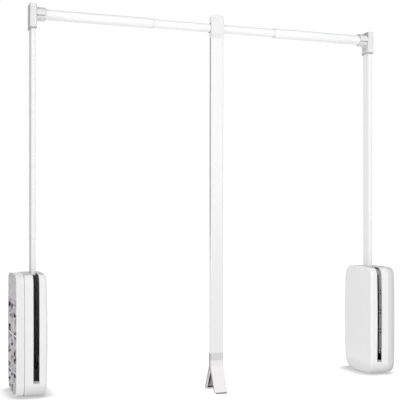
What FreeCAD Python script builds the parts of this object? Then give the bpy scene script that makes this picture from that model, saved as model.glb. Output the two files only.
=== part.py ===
import FreeCAD
import Part
import math
import os

from FreeCAD import Vector

# Pull down closet rod (wardrobe lift), in millimetres.
# X runs from the left side panel to the right one, Y points away from the user, Z is up.
# The origin is the centre of the left housing's screw pattern, on the face of the left side panel.
# Each left-hand piece is built first; the right-hand one is its mirror image.

# --- overall sizes ---
WALL_TO_WALL = 926.0          # clear width of the wardrobe, as set
ARM_FROM_WALL = 42.5          # side panel to the middle of an arm
ARM_Y = -9.5                  # plane that holds both arms and the rail
PIVOT_Z = -57.5               # arm pivot, below the middle of the housing
ARM_REACH = 758.0             # pivot to rail axis
OVERLAP = 1.0                 # extra length of a cutting tool past a face

# --- housing ---
HOUSING_HEIGHT = 263.5        # of the base shell; the cover is larger by its step
HOUSING_DEPTH = 132.0
HOUSING_WIDTH = 67.5
BASE_WIDTH = 17.0             # base shell, from the side panel to the seam
BOW = 3.0                     # rise of each bowed edge of the outline
CORNER_TOP = 20.0
CORNER_LOW_FRONT = 26.0
CORNER_LOW_REAR = 34.0
BASE_WALL = 2.6
COVER_WALL = 2.4
COVER_STEP = 1.7              # the cover stands proud of the base shell
SEAM_GAP = 1.1                # shadow groove between the two shells
SEAM_INSET = 1.2              # bottom of the groove, below the base shell's face
COVER_CROWN_R = 3500.0        # radius of the crowned face
CROWN_SPAN = 8.0              # degrees of the crowned surface on each side of its middle
COVER_EDGE_R = 6.5
LIP_GAP = 0.2
LIP_WALL = 1.5
LIP_DEPTH = 3.0

# --- base shell's back ---
POCKET_DEPTH = 8.0
WEB = 2.5
RIB = 2.4
RIB_RECESS = 0.3              # ribs end just short of the side panel
RIB_PITCH = 79.0
RIB_MIDDLE_Z = -2.0
PANEL_WALL = 2.5              # closed panel above the top rib
BACK_UPRIGHT_Y = 21.0
BRACE_ANGLE = 38.0            # from level
BOSS_RECESS = 1.0             # plate screw bosses end short of the side panel
SCREW_SPACING_Y = 96.0        # wall screws
SCREW_SPACING_Z = 192.0
SCREW_HOLE_R = 2.75
SCREW_BOSS_R = 6.5

# --- cover clips ---
CLIP_WIDTH = 8.0
CLIP_WALL = 2.0
CLIP_HOOK = 1.4
CLIP_BAYS = (-0.5, 0.5)       # heights as shares of the rib pitch, in the middle of a bay
CLIP_PLAY = 0.4

# --- slot for the arm ---
SLOT_SIDE_PLAY = 1.05         # on each side of the arm
SLOT_BOTTOM_Z = -101.75
SLOT_REAR_GAP = 3.75          # behind the arm, filled by the upper buffer
SLOT_TAIL = 30.0              # groove in the cover's top, behind the slot
SLOT_TAIL_DROP = 7.0          # below the top of the housing
BUFFER_LOW = 4.0
BUFFER_GAP = 0.35
BUFFER_SIDE_PLAY = 0.2
BUFFER_RUN = 10.0
SILL = 2.5                    # ledge that carries the lower buffer
STOP_WALL = 2.5
STOP_DROP = 26.0              # stop wall, below the top of the housing
BUFFER_HIGH = 18.0

# --- mechanism plate ---
PLATE = 2.5
PLATE_INSET = 6.4
PLATE_SCREW_Y = 26.0
PLATE_SCREW_HIGH_Z = 86.5
PLATE_SCREW_LOW_Z = -97.5
PLATE_SCREW_R = 2.0
PLATE_HEAD_R = 4.0
PLATE_HEAD = 2.0
PLATE_BOSS_R = 4.5
PLATE_SCREW_END_X = 3.5

# --- pivot ---
SHAFT_R = 6.0
SHAFT_RIVET_R = 5.0
SHAFT_COLLAR_R = 9.0
SHAFT_COLLAR = 2.0
SHAFT_END_FROM_ARM = 18.0
SHAFT_BOSS_R = 9.0
SHAFT_BOSS_FROM_ARM = 12.0
BUSH_WALL = 1.5
BUSH_FLANGE_R = 9.5
BUSH_FLANGE = 1.5
RUNNING_GAP = 0.06
CLIP_RING = 1.0
CLIP_RING_R = 8.5
CLIP_GROOVE_R = 5.2
CLIP_RING_GAP = 0.25

# --- arm ---
ARM_WIDTH = 10.7
ARM_DEPTH = 29.5
ARM_WALL = 1.5
ARM_EDGE_R = 3.0
ARM_TAIL = 16.0               # tube below the pivot
ARM_TOP_ABOVE_RAIL = 14.0     # tube end above the rail axis, inside the connector
CHEEK = 3.0
CHEEK_R = 20.0
CHEEK_UP = 36.0
CHEEK_HALF_DEPTH = 13.0
RIVET_R = 2.5
RIVET_HEAD_R = 4.2
RIVET_HEAD = 1.4
RIVET_OFFSETS = (19.0, 31.0)  # above the pivot

# --- spring strut ---
CRANK_R = 14.0
CRANK_ANGLE = -35.0           # at rest, from straight back
CRANK_PIN_R = 3.0
CRANK_SHOULDER_R = 4.0
STRUT_FROM_ARM = 19.0
STRUT_TOP_Y = 2.0
STRUT_TOP_DROP = 33.25        # below the top of the housing
STRUT_LEAN = 1.03             # degrees off the line of the pins, which shares out the slack
STRUT_R = 8.0
STRUT_WALL = 1.0
STRUT_TUBE_START = 14.0
ROD_OUT = 76.986              # crank pin to the mouth of the strut tube
ROD_IN = 17.014               # rod past the mouth, inside the tube
STRUT_PLUG_END = 22.0
STRUT_GUIDE = 3.0
STRUT_GUIDE_R = 6.1
TOP_EYE_R = 7.0
TOP_EYE_WIDTH = 8.0
ANCHOR_R = 4.0
ANCHOR_SHOULDER_R = 5.5
ANCHOR_RIVET_R = 3.0
ROD_R = 2.5
ROD_START = 7.0
ROD_EYE_R = 6.0
ROD_EYE_WIDTH = 6.0
ROD_NECK_R = 4.5
ROD_NECK_START = 4.0
ROD_NECK_END = 15.0
EYE_GAP = 0.25
PIN_HEAD = 1.2

# --- slot guard ---
GUARD_SETBACK = 0.4           # past the edge of the slot
GUARD_RIB = 1.6
GUARD_WALL = 1.6
GUARD_FROM_FRONT = 4.5        # behind the housing's front
GUARD_DEPTH = 11.5
GUARD_Z0 = -81.5               # its foot
GUARD_ARM_GAP = 3.0           # ahead of the arm, where the guard ends on top
GUARD_RIB_PITCH = 48.0
GUARD_RIB_MIDDLE_Z = 21.75
GUARD_RIB_STEPS = (-2, -1, 0, 1)  # pitches up or down from the middle rib
GUARD_RIB_HEIGHT = 3.0
GUARD_WINDOW = 4.5
GUARD_FRAME = 2.0
GUARD_POST_R = 3.5
GUARD_SPIGOT_R = 2.0
GUARD_POST_FROM_FRONT = 5.75  # behind the guard's front edge
GUARD_POST_ZS = (-63.5, 45.5)

# --- rail connector ---
CONNECTOR_SIDE_WALL = 2.45
CONNECTOR_FRONT_WALL = 2.25
CONNECTOR_ABOVE = 20.0
CONNECTOR_BELOW = 34.5
CONNECTOR_EDGE_R = 3.0
CONNECTOR_ARCH = 2.0
SOCKET_WALL = 3.25
SOCKET_EDGE_R = 1.0
SOCKET_END_FROM_ARM = 28.0
SOCKET_SLIT = 2.2
SOCKET_SLIT_BELOW_AXIS = 5.0
RAIL_START_FROM_ARM = 10.0
CONNECTOR_SCREW_R = 2.5
CONNECTOR_SCREW_HEAD_R = 4.4
CONNECTOR_SCREW_HEAD = 2.2
CONNECTOR_SCREW_EDGE_R = 1.0
CONNECTOR_SCREW_BELOW = 25.0  # under the rail axis
CONNECTOR_SCREW_TIP = 1.0     # from the arm's middle

# --- rail ---
OUTER_TUBE_R = 11.75
OUTER_TUBE_WALL = 1.0
LEFT_TUBE_END = 274.0         # from the arm's middle
RIGHT_TUBE_END = 259.0
MIDDLE_TUBE_R = 10.0
MIDDLE_TUBE_WALL = 1.2
MIDDLE_TUBE_LENGTH = 595.0
SLEEVE_GAP = 0.3
SLEEVE_LENGTH = 30.0
SLEEVE_RIM = 2.0

# --- pull handle ---
HANDLE_FROM_LEFT_ARM = 431.0
HANDLE_TILT = 0.2             # hangs with its foot a little to the rear
RAIL_BUSH_WALL = 1.2
RAIL_BUSH_HALF = 15.0
RAIL_BUSH_FLANGE = 3.0
RAIL_BUSH_FLANGE_R = 12.2
GRUB_R = 1.0
GRUB_SUNK = 0.3
HANDLE_WIDTH = 32.0
HEAD_FRONT = 13.7             # front face of the head, ahead of the rail axis
HEAD_ABOVE = 29.0
HEAD_BELOW = 24.0
HEAD_CORNER_R = 7.0
HEAD_EDGE_R = 2.0
HEAD_TAPER = 11.0             # height over which the head's front runs back to the bar
LOOP_SIDE_PLAY = 0.2
LOOP_R = 15.2
LOOP_EAR = 5.0
LOOP_HALF_HEIGHT = 22.5
CAP_SCREW_OFFSET = 18.6
CAP_SCREW_R = 1.5
CAP_SCREW_HEAD_R = 2.8
CAP_SCREW_HEAD = 1.6
CAP_SCREW_DEPTH = 7.0
BAR_FRONT = 9.5               # front face of the bar, ahead of the rail axis
BAR_THICK = 10.0
BAR_WALL = 1.3
BAR_EDGE_R = 2.5
TONGUE = 20.0
BAR_LENGTH = 742.0
COLLAR_HEIGHT = 16.5
COLLAR_PROUD = 0.4
GRIP_LENGTH = 74.0
GRIP_SPREAD = 35.0            # middle of the bar to the outside of a leaf's tip
GRIP_LEAF = 5.5
GRIP_CROTCH = 14.0            # solid part above the fork
GRIP_CORNER_R = 6.0
GRIP_POCKET = 3.0             # depth of the hollow in the inner face of each leaf
GRIP_POCKET_RIM = 4.0
SPIGOT = 38.0
GRIP_SCREW_UP = 10.0          # above the bottom of the bar
GRIP_SCREW_R = 2.0
GRIP_SCREW_HEAD_R = 3.6
GRIP_SCREW_HEAD = 1.5

# --- places that follow from the sizes above ---
PLATE_X0 = POCKET_DEPTH + WEB
PLATE_X1 = PLATE_X0 + PLATE
COVER_X0 = BASE_WIDTH + SEAM_GAP
RAIL_Z = PIVOT_Z + ARM_REACH
STRUT_X = ARM_FROM_WALL - STRUT_FROM_ARM
STRUT_TOP_Z = HOUSING_HEIGHT / 2 - STRUT_TOP_DROP
STRUT_TOP = Vector(STRUT_X, STRUT_TOP_Y, STRUT_TOP_Z)
CRANK_PIN = Vector(
    STRUT_X,
    ARM_Y + CRANK_R * math.cos(math.radians(CRANK_ANGLE)),
    PIVOT_Z + CRANK_R * math.sin(math.radians(CRANK_ANGLE)),
)
STRUT_TUBE_END = STRUT_TOP.distanceToPoint(CRANK_PIN) - ROD_OUT
ROD_LENGTH = ROD_OUT + ROD_IN
GUARD_Y0 = -HOUSING_DEPTH / 2 + GUARD_FROM_FRONT
GUARD_Y1 = GUARD_Y0 + GUARD_DEPTH
GUARD_POST_Y = GUARD_Y0 + GUARD_POST_FROM_FRONT
ARM_SIDE = ARM_WIDTH / 2
ARM_TOP_Z = RAIL_Z + ARM_TOP_ABOVE_RAIL
BUSH_R = SHAFT_R + RUNNING_GAP + BUSH_WALL
SLOT_WIDTH = ARM_WIDTH + 2 * SLOT_SIDE_PLAY
SLOT_REAR_Y = ARM_Y + ARM_DEPTH / 2 + SLOT_REAR_GAP
CONNECTOR_WIDTH = ARM_WIDTH + 2 * CONNECTOR_SIDE_WALL
CONNECTOR_DEPTH = ARM_DEPTH + 2 * CONNECTOR_FRONT_WALL
SOCKET_R = OUTER_TUBE_R + SOCKET_WALL
LOOP_HALF_WIDTH = RAIL_BUSH_HALF - RAIL_BUSH_FLANGE - LOOP_SIDE_PLAY
HANDLE_X = ARM_FROM_WALL + HANDLE_FROM_LEFT_ARM
BAR_TOP_Z = RAIL_Z - HEAD_BELOW
BAR_BOTTOM_Z = BAR_TOP_Z - BAR_LENGTH
COLLAR_BOTTOM_Z = BAR_BOTTOM_Z - COLLAR_HEIGHT
BAR_MIDDLE_Y = ARM_Y - BAR_FRONT + BAR_THICK / 2


# --- helpers ---
def box(x0, x1, y0, y1, z0, z1):
    return Part.makeBox(x1 - x0, y1 - y0, z1 - z0, Vector(x0, y0, z0))


def cylinder_x(x0, x1, y, z, radius):
    return Part.makeCylinder(radius, x1 - x0, Vector(x0, y, z), Vector(1, 0, 0))


def cylinder_y(y0, y1, x, z, radius):
    return Part.makeCylinder(radius, y1 - y0, Vector(x, y0, z), Vector(0, 1, 0))


def tube_x(x0, x1, y, z, outer, inner):
    return cylinder_x(x0, x1, y, z, outer).cut(cylinder_x(x0 - OVERLAP, x1 + OVERLAP, y, z, inner))


def fuse(shapes):
    joined = shapes[0]
    for shape in shapes[1:]:
        joined = joined.fuse(shape)
    return joined.removeSplitter()


def cut(shape, tools):
    for tool in tools:
        shape = shape.cut(tool)
    return shape


def parallel_edges(shape, axis):
    """Straight edges of a shape that run along an axis."""
    found = []
    for edge in shape.Edges:
        straight = isinstance(edge.Curve, Part.Line)
        if straight and edge.tangentAt(edge.FirstParameter).cross(axis).Length < 1e-6:
            found.append(edge)
    return found


def rounded_bar(x, y, width, depth, z0, z1, radius):
    """Upright bar of rectangular section with rounded edges."""
    bar = box(x - width / 2, x + width / 2, y - depth / 2, y + depth / 2, z0, z1)
    return bar.makeFillet(radius, parallel_edges(bar, Vector(0, 0, 1)))


def outline_y(z, inset=0.0):
    """Half depth of the bowed housing outline at a height."""
    half_height = HOUSING_HEIGHT / 2 - BOW
    return HOUSING_DEPTH / 2 - BOW * (z / half_height) ** 2 - inset


def housing_block(x0, x1, inset):
    """Solid of the housing's bowed, round-cornered outline, set in by a distance."""
    half_y = HOUSING_DEPTH / 2 - inset
    half_z = HOUSING_HEIGHT / 2 - inset
    corner_y = half_y - BOW
    corner_z = half_z - BOW
    corners = [
        Vector(x0, -corner_y, -corner_z),
        Vector(x0, -corner_y, corner_z),
        Vector(x0, corner_y, corner_z),
        Vector(x0, corner_y, -corner_z),
    ]
    crests = [
        Vector(x0, -half_y, 0),
        Vector(x0, 0, half_z),
        Vector(x0, half_y, 0),
        Vector(x0, 0, -half_z),
    ]
    arcs = []
    for index in range(4):
        arcs.append(Part.Arc(corners[index], crests[index], corners[(index + 1) % 4]).toShape())
    block = Part.Face(Part.Wire(arcs)).extrude(Vector(x1 - x0, 0, 0))
    radii = {(-1, 1): CORNER_TOP, (1, 1): CORNER_TOP, (-1, -1): CORNER_LOW_FRONT, (1, -1): CORNER_LOW_REAR}
    for (side_y, side_z), radius in radii.items():
        corner = Part.Vertex(Vector(x0, side_y * corner_y, side_z * corner_z))
        edges = [e for e in parallel_edges(block, Vector(1, 0, 0)) if e.distToShape(corner)[0] < 0.01]
        block = block.makeFillet(radius - inset, edges)
    return block


def crowned_block(x1, inset, edge_radius):
    """Housing block whose inner end is crowned and rounded all round."""
    block = housing_block(COVER_X0, x1, inset)
    middle = Vector(x1 - COVER_CROWN_R, 0, 0)
    ball = Part.makeSphere(COVER_CROWN_R, middle, Vector(0, 0, 1), -CROWN_SPAN, CROWN_SPAN, 360)
    block = block.common(ball)
    rim = [face for face in block.Faces if isinstance(face.Surface, Part.Sphere)]
    return block.makeFillet(edge_radius, rim[0].Edges)


def point_down(shape, place, degrees):
    """Turn a piece that hangs down from the origin about X, then put it in place."""
    shape = shape.copy()
    shape.rotate(Vector(0, 0, 0), Vector(1, 0, 0), degrees)
    shape.translate(place)
    return shape


def tilt_handle(shape):
    """Hang a piece of the handle at its resting tilt about the rail."""
    shape = shape.copy()
    shape.rotate(Vector(0, ARM_Y, RAIL_Z), Vector(1, 0, 0), HANDLE_TILT)
    return shape


def hole_points():
    points = []
    for side_y in (-1, 1):
        for side_z in (-1, 1):
            points.append((side_y * SCREW_SPACING_Y / 2, side_z * SCREW_SPACING_Z / 2))
    return points


def plate_screw_points():
    points = []
    for side_y in (-1, 1):
        for z in (PLATE_SCREW_LOW_Z, PLATE_SCREW_HIGH_Z):
            points.append((side_y * PLATE_SCREW_Y, z))
    return points


def clip_places():
    """Side (front -1, rear +1) and height of each cover clip, between the ribs of the base shell."""
    places = []
    for side in (-1, 1):
        for bay in CLIP_BAYS:
            places.append((side, RIB_MIDDLE_Z + bay * RIB_PITCH))
    return places


def clip_box(side, z, x0, x1, inner, play):
    """Box against the inside of the base shell's wall; inner is its reach towards the middle."""
    wall_y = outline_y(z, BASE_WALL + LIP_GAP)
    near = wall_y + play if play else wall_y
    far = wall_y - inner - play
    y0, y1 = sorted((side * near, side * far))
    half = CLIP_WIDTH / 2 + play
    return box(x0, x1, y0, y1, z - half, z + half)


# --- housing pieces ---
def base_shell():
    top_rib_z = RIB_MIDDLE_Z + RIB_PITCH
    outer = housing_block(0, BASE_WIDTH, 0)
    room = housing_block(PLATE_X0, BASE_WIDTH + OVERLAP, BASE_WALL)
    pocket = housing_block(-OVERLAP, POCKET_DEPTH, BASE_WALL)
    high = box(
        -2 * OVERLAP, BASE_WIDTH + 2 * OVERLAP, -HOUSING_DEPTH, HOUSING_DEPTH, top_rib_z, HOUSING_HEIGHT,
    )
    top_room = housing_block(PANEL_WALL, BASE_WIDTH, BASE_WALL).common(high.translated(Vector(0, 0, RIB / 2)))
    shell = cut(outer, [room, pocket.cut(high), top_room])
    half_y = HOUSING_DEPTH / 2
    half_z = HOUSING_HEIGHT / 2
    ribs = []
    for step in (-1, 0):
        z = RIB_MIDDLE_Z + step * RIB_PITCH
        ribs.append(box(RIB_RECESS, POCKET_DEPTH, -half_y, half_y, z - RIB / 2, z + RIB / 2))
    for y in (-BACK_UPRIGHT_Y, BACK_UPRIGHT_Y):
        ribs.append(box(RIB_RECESS, POCKET_DEPTH, y - RIB / 2, y + RIB / 2, -half_z, top_rib_z))
    for side in (-1, 1):
        brace = box(RIB_RECESS, POCKET_DEPTH, 0, half_y, -RIB / 2, RIB / 2)
        brace.rotate(Vector(0, 0, 0), Vector(1, 0, 0), side * BRACE_ANGLE)
        brace.translate(Vector(0, 0, RIB_MIDDLE_Z))
        ribs.append(brace)
        ribs.append(brace.mirror(Vector(0, 0, 0), Vector(0, 1, 0)))
    for y, z in hole_points():
        ribs.append(cylinder_x(0, PLATE_X0, y, z, SCREW_BOSS_R))
    for y, z in plate_screw_points():
        ribs.append(cylinder_x(BOSS_RECESS, PLATE_X0, y, z, PLATE_BOSS_R))
    shell = fuse([shell] + [rib.common(outer) for rib in ribs])
    for y, z in hole_points():
        shell = shell.cut(cylinder_x(-OVERLAP, BASE_WIDTH, y, z, SCREW_HOLE_R))
    for y, z in plate_screw_points():
        shell = shell.cut(cylinder_x(PLATE_SCREW_END_X, BASE_WIDTH, y, z, PLATE_SCREW_R))
    reach = CLIP_WALL + CLIP_HOOK
    for side, z in clip_places():
        shell = shell.cut(clip_box(side, z, POCKET_DEPTH - OVERLAP, PLATE_X0 + OVERLAP, reach, CLIP_PLAY))
    return shell


def mechanism_plate():
    plate = housing_block(PLATE_X0, PLATE_X1, PLATE_INSET)
    holes = [(y, z, SCREW_HOLE_R) for y, z in hole_points()]
    holes += [(y, z, PLATE_SCREW_R) for y, z in plate_screw_points()]
    holes += [(GUARD_POST_Y, z, GUARD_SPIGOT_R) for z in GUARD_POST_ZS]
    holes.append((ARM_Y, PIVOT_Z, SHAFT_RIVET_R))
    holes.append((STRUT_TOP_Y, STRUT_TOP_Z, ANCHOR_RIVET_R))
    return cut(plate, [cylinder_x(PLATE_X0 - OVERLAP, PLATE_X1 + OVERLAP, y, z, r) for y, z, r in holes])


def plate_screws():
    screws = []
    for y, z in plate_screw_points():
        shank = cylinder_x(PLATE_SCREW_END_X, PLATE_X1, y, z, PLATE_SCREW_R)
        head = cylinder_x(PLATE_X1, PLATE_X1 + PLATE_HEAD, y, z, PLATE_HEAD_R)
        screws.append(fuse([shank, head]))
    return Part.makeCompound(screws)


def clip_ring_spans():
    """X span of each retaining ring, outside the bush flanges."""
    outside = ARM_SIDE + CHEEK + BUSH_FLANGE + CLIP_RING_GAP
    return [
        (ARM_FROM_WALL - outside - CLIP_RING, ARM_FROM_WALL - outside),
        (ARM_FROM_WALL + outside, ARM_FROM_WALL + outside + CLIP_RING),
    ]


def pivot_shaft():
    end = ARM_FROM_WALL + SHAFT_END_FROM_ARM
    shaft = fuse([
        cylinder_x(PLATE_X0, PLATE_X1, ARM_Y, PIVOT_Z, SHAFT_RIVET_R),
        cylinder_x(PLATE_X1, PLATE_X1 + SHAFT_COLLAR, ARM_Y, PIVOT_Z, SHAFT_COLLAR_R),
        cylinder_x(PLATE_X1 + SHAFT_COLLAR, end, ARM_Y, PIVOT_Z, SHAFT_R),
    ])
    for x0, x1 in clip_ring_spans():
        shaft = shaft.cut(tube_x(x0, x1, ARM_Y, PIVOT_Z, SHAFT_R + OVERLAP, CLIP_GROOVE_R))
    return shaft


def shaft_clips():
    return Part.makeCompound([
        tube_x(x0, x1, ARM_Y, PIVOT_Z, CLIP_RING_R, CLIP_GROOVE_R) for x0, x1 in clip_ring_spans()
    ])


def strut_anchor():
    eye_x0 = STRUT_X - TOP_EYE_WIDTH / 2 - EYE_GAP
    eye_x1 = STRUT_X + TOP_EYE_WIDTH / 2 + EYE_GAP
    y, z = STRUT_TOP_Y, STRUT_TOP_Z
    return fuse([
        cylinder_x(PLATE_X0, PLATE_X1, y, z, ANCHOR_RIVET_R),
        cylinder_x(PLATE_X1, eye_x0, y, z, ANCHOR_SHOULDER_R),
        cylinder_x(eye_x0, eye_x1, y, z, ANCHOR_R),
        cylinder_x(eye_x1, eye_x1 + PIN_HEAD, y, z, ANCHOR_SHOULDER_R),
    ])


def slot_tool():
    """Room for the arm: through the front, over the top and, as a shallow groove, on behind it."""
    x0 = ARM_FROM_WALL - SLOT_WIDTH / 2
    x1 = ARM_FROM_WALL + SLOT_WIDTH / 2
    tail_z = HOUSING_HEIGHT / 2 - SLOT_TAIL_DROP
    return fuse([
        box(x0, x1, -HOUSING_DEPTH, SLOT_REAR_Y, SLOT_BOTTOM_Z, HOUSING_HEIGHT),
        box(x0, x1, SLOT_REAR_Y - OVERLAP, SLOT_REAR_Y + SLOT_TAIL, tail_z, HOUSING_HEIGHT),
    ])


def cover():
    outer = crowned_block(HOUSING_WIDTH, -COVER_STEP, COVER_EDGE_R)
    inner = crowned_block(HOUSING_WIDTH - COVER_WALL, COVER_WALL - COVER_STEP, COVER_EDGE_R - COVER_WALL)
    lip_inset = BASE_WALL + LIP_GAP
    lip_x0 = BASE_WIDTH - LIP_DEPTH
    shelf_x1 = COVER_X0 + COVER_WALL
    lip = housing_block(lip_x0, shelf_x1, lip_inset)
    seat = housing_block(BASE_WIDTH, shelf_x1, SEAM_INSET)
    shelf = housing_block(COVER_X0, shelf_x1, 0)
    bore = housing_block(lip_x0 - OVERLAP, shelf_x1 + OVERLAP, lip_inset + LIP_WALL)
    boss_x0 = ARM_FROM_WALL + SHAFT_BOSS_FROM_ARM
    boss = cylinder_x(boss_x0, HOUSING_WIDTH, ARM_Y, PIVOT_Z, SHAFT_BOSS_R).common(outer)
    stop = box(
        ARM_FROM_WALL - SLOT_WIDTH / 2 - STOP_WALL, ARM_FROM_WALL + SLOT_WIDTH / 2 + STOP_WALL,
        SLOT_REAR_Y, SLOT_REAR_Y + STOP_WALL,
        HOUSING_HEIGHT / 2 - STOP_DROP, HOUSING_HEIGHT / 2,
    ).common(outer)
    sill = box(
        ARM_FROM_WALL - SLOT_WIDTH / 2 - STOP_WALL, ARM_FROM_WALL + SLOT_WIDTH / 2 + STOP_WALL,
        -HOUSING_DEPTH / 2, -outline_y(SLOT_BOTTOM_Z) + BUFFER_RUN,
        SLOT_BOTTOM_Z - SILL, SLOT_BOTTOM_Z,
    ).common(outer)
    shell = fuse([outer.cut(inner), fuse([lip, seat, shelf]).cut(bore), boss, stop, sill])
    shaft_x1 = ARM_FROM_WALL + SHAFT_END_FROM_ARM
    shell = cut(shell, [slot_tool(), cylinder_x(boss_x0 - OVERLAP, shaft_x1, ARM_Y, PIVOT_Z, SHAFT_R)])
    hook_x1 = POCKET_DEPTH - LIP_GAP
    hook_x0 = hook_x1 - CLIP_WALL
    tongues = []
    for side, z in clip_places():
        tongues.append(clip_box(side, z, hook_x0, shelf_x1, CLIP_WALL, 0))
        tongues.append(clip_box(side, z, hook_x0, hook_x1, CLIP_WALL + CLIP_HOOK, 0))
    return fuse([shell] + tongues)


def slot_guard():
    """Band beside the slot that follows the housing's outline from its foot round to the arm."""
    x1 = ARM_FROM_WALL - SLOT_WIDTH / 2 - GUARD_SETBACK
    wall_x1 = x1 - GUARD_RIB
    wall_x0 = wall_x1 - GUARD_WALL
    band = housing_block(wall_x0, wall_x1, GUARD_FROM_FRONT)
    band = band.cut(housing_block(wall_x0 - OVERLAP, wall_x1 + OVERLAP, GUARD_FROM_FRONT + GUARD_DEPTH))
    arm_front_y = ARM_Y - ARM_DEPTH / 2
    guard = band.common(box(
        wall_x0, wall_x1, -HOUSING_DEPTH, arm_front_y - GUARD_ARM_GAP, GUARD_Z0, HOUSING_HEIGHT,
    ))
    ribs = []
    windows = []
    for step in GUARD_RIB_STEPS:
        z = GUARD_RIB_MIDDLE_Z + step * GUARD_RIB_PITCH
        half = GUARD_RIB_HEIGHT / 2
        ribs.append(box(wall_x0, x1, GUARD_Y0, GUARD_Y1, z - half, z + half))
        for base in (z - half - GUARD_WINDOW, z + half):
            windows.append(box(
                wall_x0 - OVERLAP, x1 + OVERLAP, GUARD_Y0 + GUARD_FRAME, GUARD_Y1 - GUARD_FRAME,
                base, base + GUARD_WINDOW,
            ))
    posts = []
    for z in GUARD_POST_ZS:
        posts.append(cylinder_x(PLATE_X1, wall_x0, GUARD_POST_Y, z, GUARD_POST_R))
        posts.append(cylinder_x(PLATE_X0, PLATE_X1, GUARD_POST_Y, z, GUARD_SPIGOT_R))
    return fuse([cut(guard, windows)] + ribs + posts)


def slot_buffers():
    half = SLOT_WIDTH / 2 - BUFFER_SIDE_PLAY
    x0, x1 = ARM_FROM_WALL - half, ARM_FROM_WALL + half
    front_y = -outline_y(SLOT_BOTTOM_Z)
    arm_rear_y = ARM_Y + ARM_DEPTH / 2
    top_z = HOUSING_HEIGHT / 2 - SLOT_TAIL_DROP
    low = box(x0, x1, front_y, front_y + BUFFER_RUN, SLOT_BOTTOM_Z, SLOT_BOTTOM_Z + BUFFER_LOW)
    high = box(x0, x1, arm_rear_y + BUFFER_GAP, SLOT_REAR_Y, top_z - BUFFER_HIGH, top_z)
    return Part.makeCompound([low, high])


# --- arm pieces ---
def arm_tube():
    z0 = PIVOT_Z - ARM_TAIL
    outer = rounded_bar(ARM_FROM_WALL, ARM_Y, ARM_WIDTH, ARM_DEPTH, z0, ARM_TOP_Z, ARM_EDGE_R)
    inner = rounded_bar(
        ARM_FROM_WALL, ARM_Y, ARM_WIDTH - 2 * ARM_WALL, ARM_DEPTH - 2 * ARM_WALL,
        z0 - OVERLAP, ARM_TOP_Z + OVERLAP, ARM_EDGE_R - ARM_WALL,
    )
    tube = outer.cut(inner)
    x0, x1 = ARM_FROM_WALL - ARM_WIDTH, ARM_FROM_WALL + ARM_WIDTH
    tools = [cylinder_x(x0, x1, ARM_Y, PIVOT_Z, BUSH_R)]
    for offset in RIVET_OFFSETS:
        tools.append(cylinder_x(x0, x1, ARM_Y, PIVOT_Z + offset, RIVET_R))
    screw_z = RAIL_Z - CONNECTOR_SCREW_BELOW
    tools.append(cylinder_x(ARM_FROM_WALL, x1, ARM_Y, screw_z, CONNECTOR_SCREW_R))
    return cut(tube, tools)


def cheek(x0, x1):
    """Plate on one side of the arm: round about the pivot, with a tail up the arm."""
    disc = cylinder_x(x0, x1, ARM_Y, PIVOT_Z, CHEEK_R)
    tail = box(x0, x1, ARM_Y - CHEEK_HALF_DEPTH, ARM_Y + CHEEK_HALF_DEPTH, PIVOT_Z, PIVOT_Z + CHEEK_UP)
    plate = fuse([disc, tail])
    tools = [cylinder_x(x0 - OVERLAP, x1 + OVERLAP, ARM_Y, PIVOT_Z, BUSH_R)]
    for offset in RIVET_OFFSETS:
        tools.append(cylinder_x(x0 - OVERLAP, x1 + OVERLAP, ARM_Y, PIVOT_Z + offset, RIVET_R))
    return cut(plate, tools)


def crank_cheek():
    x1 = ARM_FROM_WALL - ARM_SIDE
    plate = cheek(x1 - CHEEK, x1)
    pin = cylinder_x(x1 - CHEEK - OVERLAP, x1 + OVERLAP, CRANK_PIN.y, CRANK_PIN.z, CRANK_PIN_R)
    return plate.cut(pin)


def plain_cheek():
    x0 = ARM_FROM_WALL + ARM_SIDE
    return cheek(x0, x0 + CHEEK)


def crank_pin():
    cheek_x1 = ARM_FROM_WALL - ARM_SIDE
    eye_x1 = STRUT_X + ROD_EYE_WIDTH / 2 + EYE_GAP
    eye_x0 = STRUT_X - ROD_EYE_WIDTH / 2 - EYE_GAP
    y, z = CRANK_PIN.y, CRANK_PIN.z
    return fuse([
        cylinder_x(cheek_x1 - CHEEK, cheek_x1, y, z, CRANK_PIN_R),
        cylinder_x(eye_x1, cheek_x1 - CHEEK, y, z, CRANK_SHOULDER_R),
        cylinder_x(eye_x0, eye_x1, y, z, CRANK_PIN_R),
        cylinder_x(eye_x0 - PIN_HEAD, eye_x0, y, z, CRANK_SHOULDER_R),
    ])


def arm_rivets():
    outside = ARM_SIDE + CHEEK
    rivets = []
    for offset in RIVET_OFFSETS:
        z = PIVOT_Z + offset
        left, right = ARM_FROM_WALL - outside, ARM_FROM_WALL + outside
        rivets.append(fuse([
            cylinder_x(left, right, ARM_Y, z, RIVET_R),
            cylinder_x(left - RIVET_HEAD, left, ARM_Y, z, RIVET_HEAD_R),
            cylinder_x(right, right + RIVET_HEAD, ARM_Y, z, RIVET_HEAD_R),
        ]))
    return Part.makeCompound(rivets)


def arm_bushes():
    """Two flanged bushes, one pushed in from each side."""
    outside = ARM_SIDE + CHEEK
    inner = SHAFT_R + RUNNING_GAP
    bushes = []
    for side in (-1, 1):
        face = ARM_FROM_WALL + side * outside
        body_x = sorted((ARM_FROM_WALL + side * EYE_GAP, face))
        flange_x = sorted((face, face + side * BUSH_FLANGE))
        body = tube_x(body_x[0], body_x[1], ARM_Y, PIVOT_Z, BUSH_R, inner)
        flange = tube_x(flange_x[0], flange_x[1], ARM_Y, PIVOT_Z, BUSH_FLANGE_R, inner)
        bushes.append(fuse([body, flange]))
    return Part.makeCompound(bushes)


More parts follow.
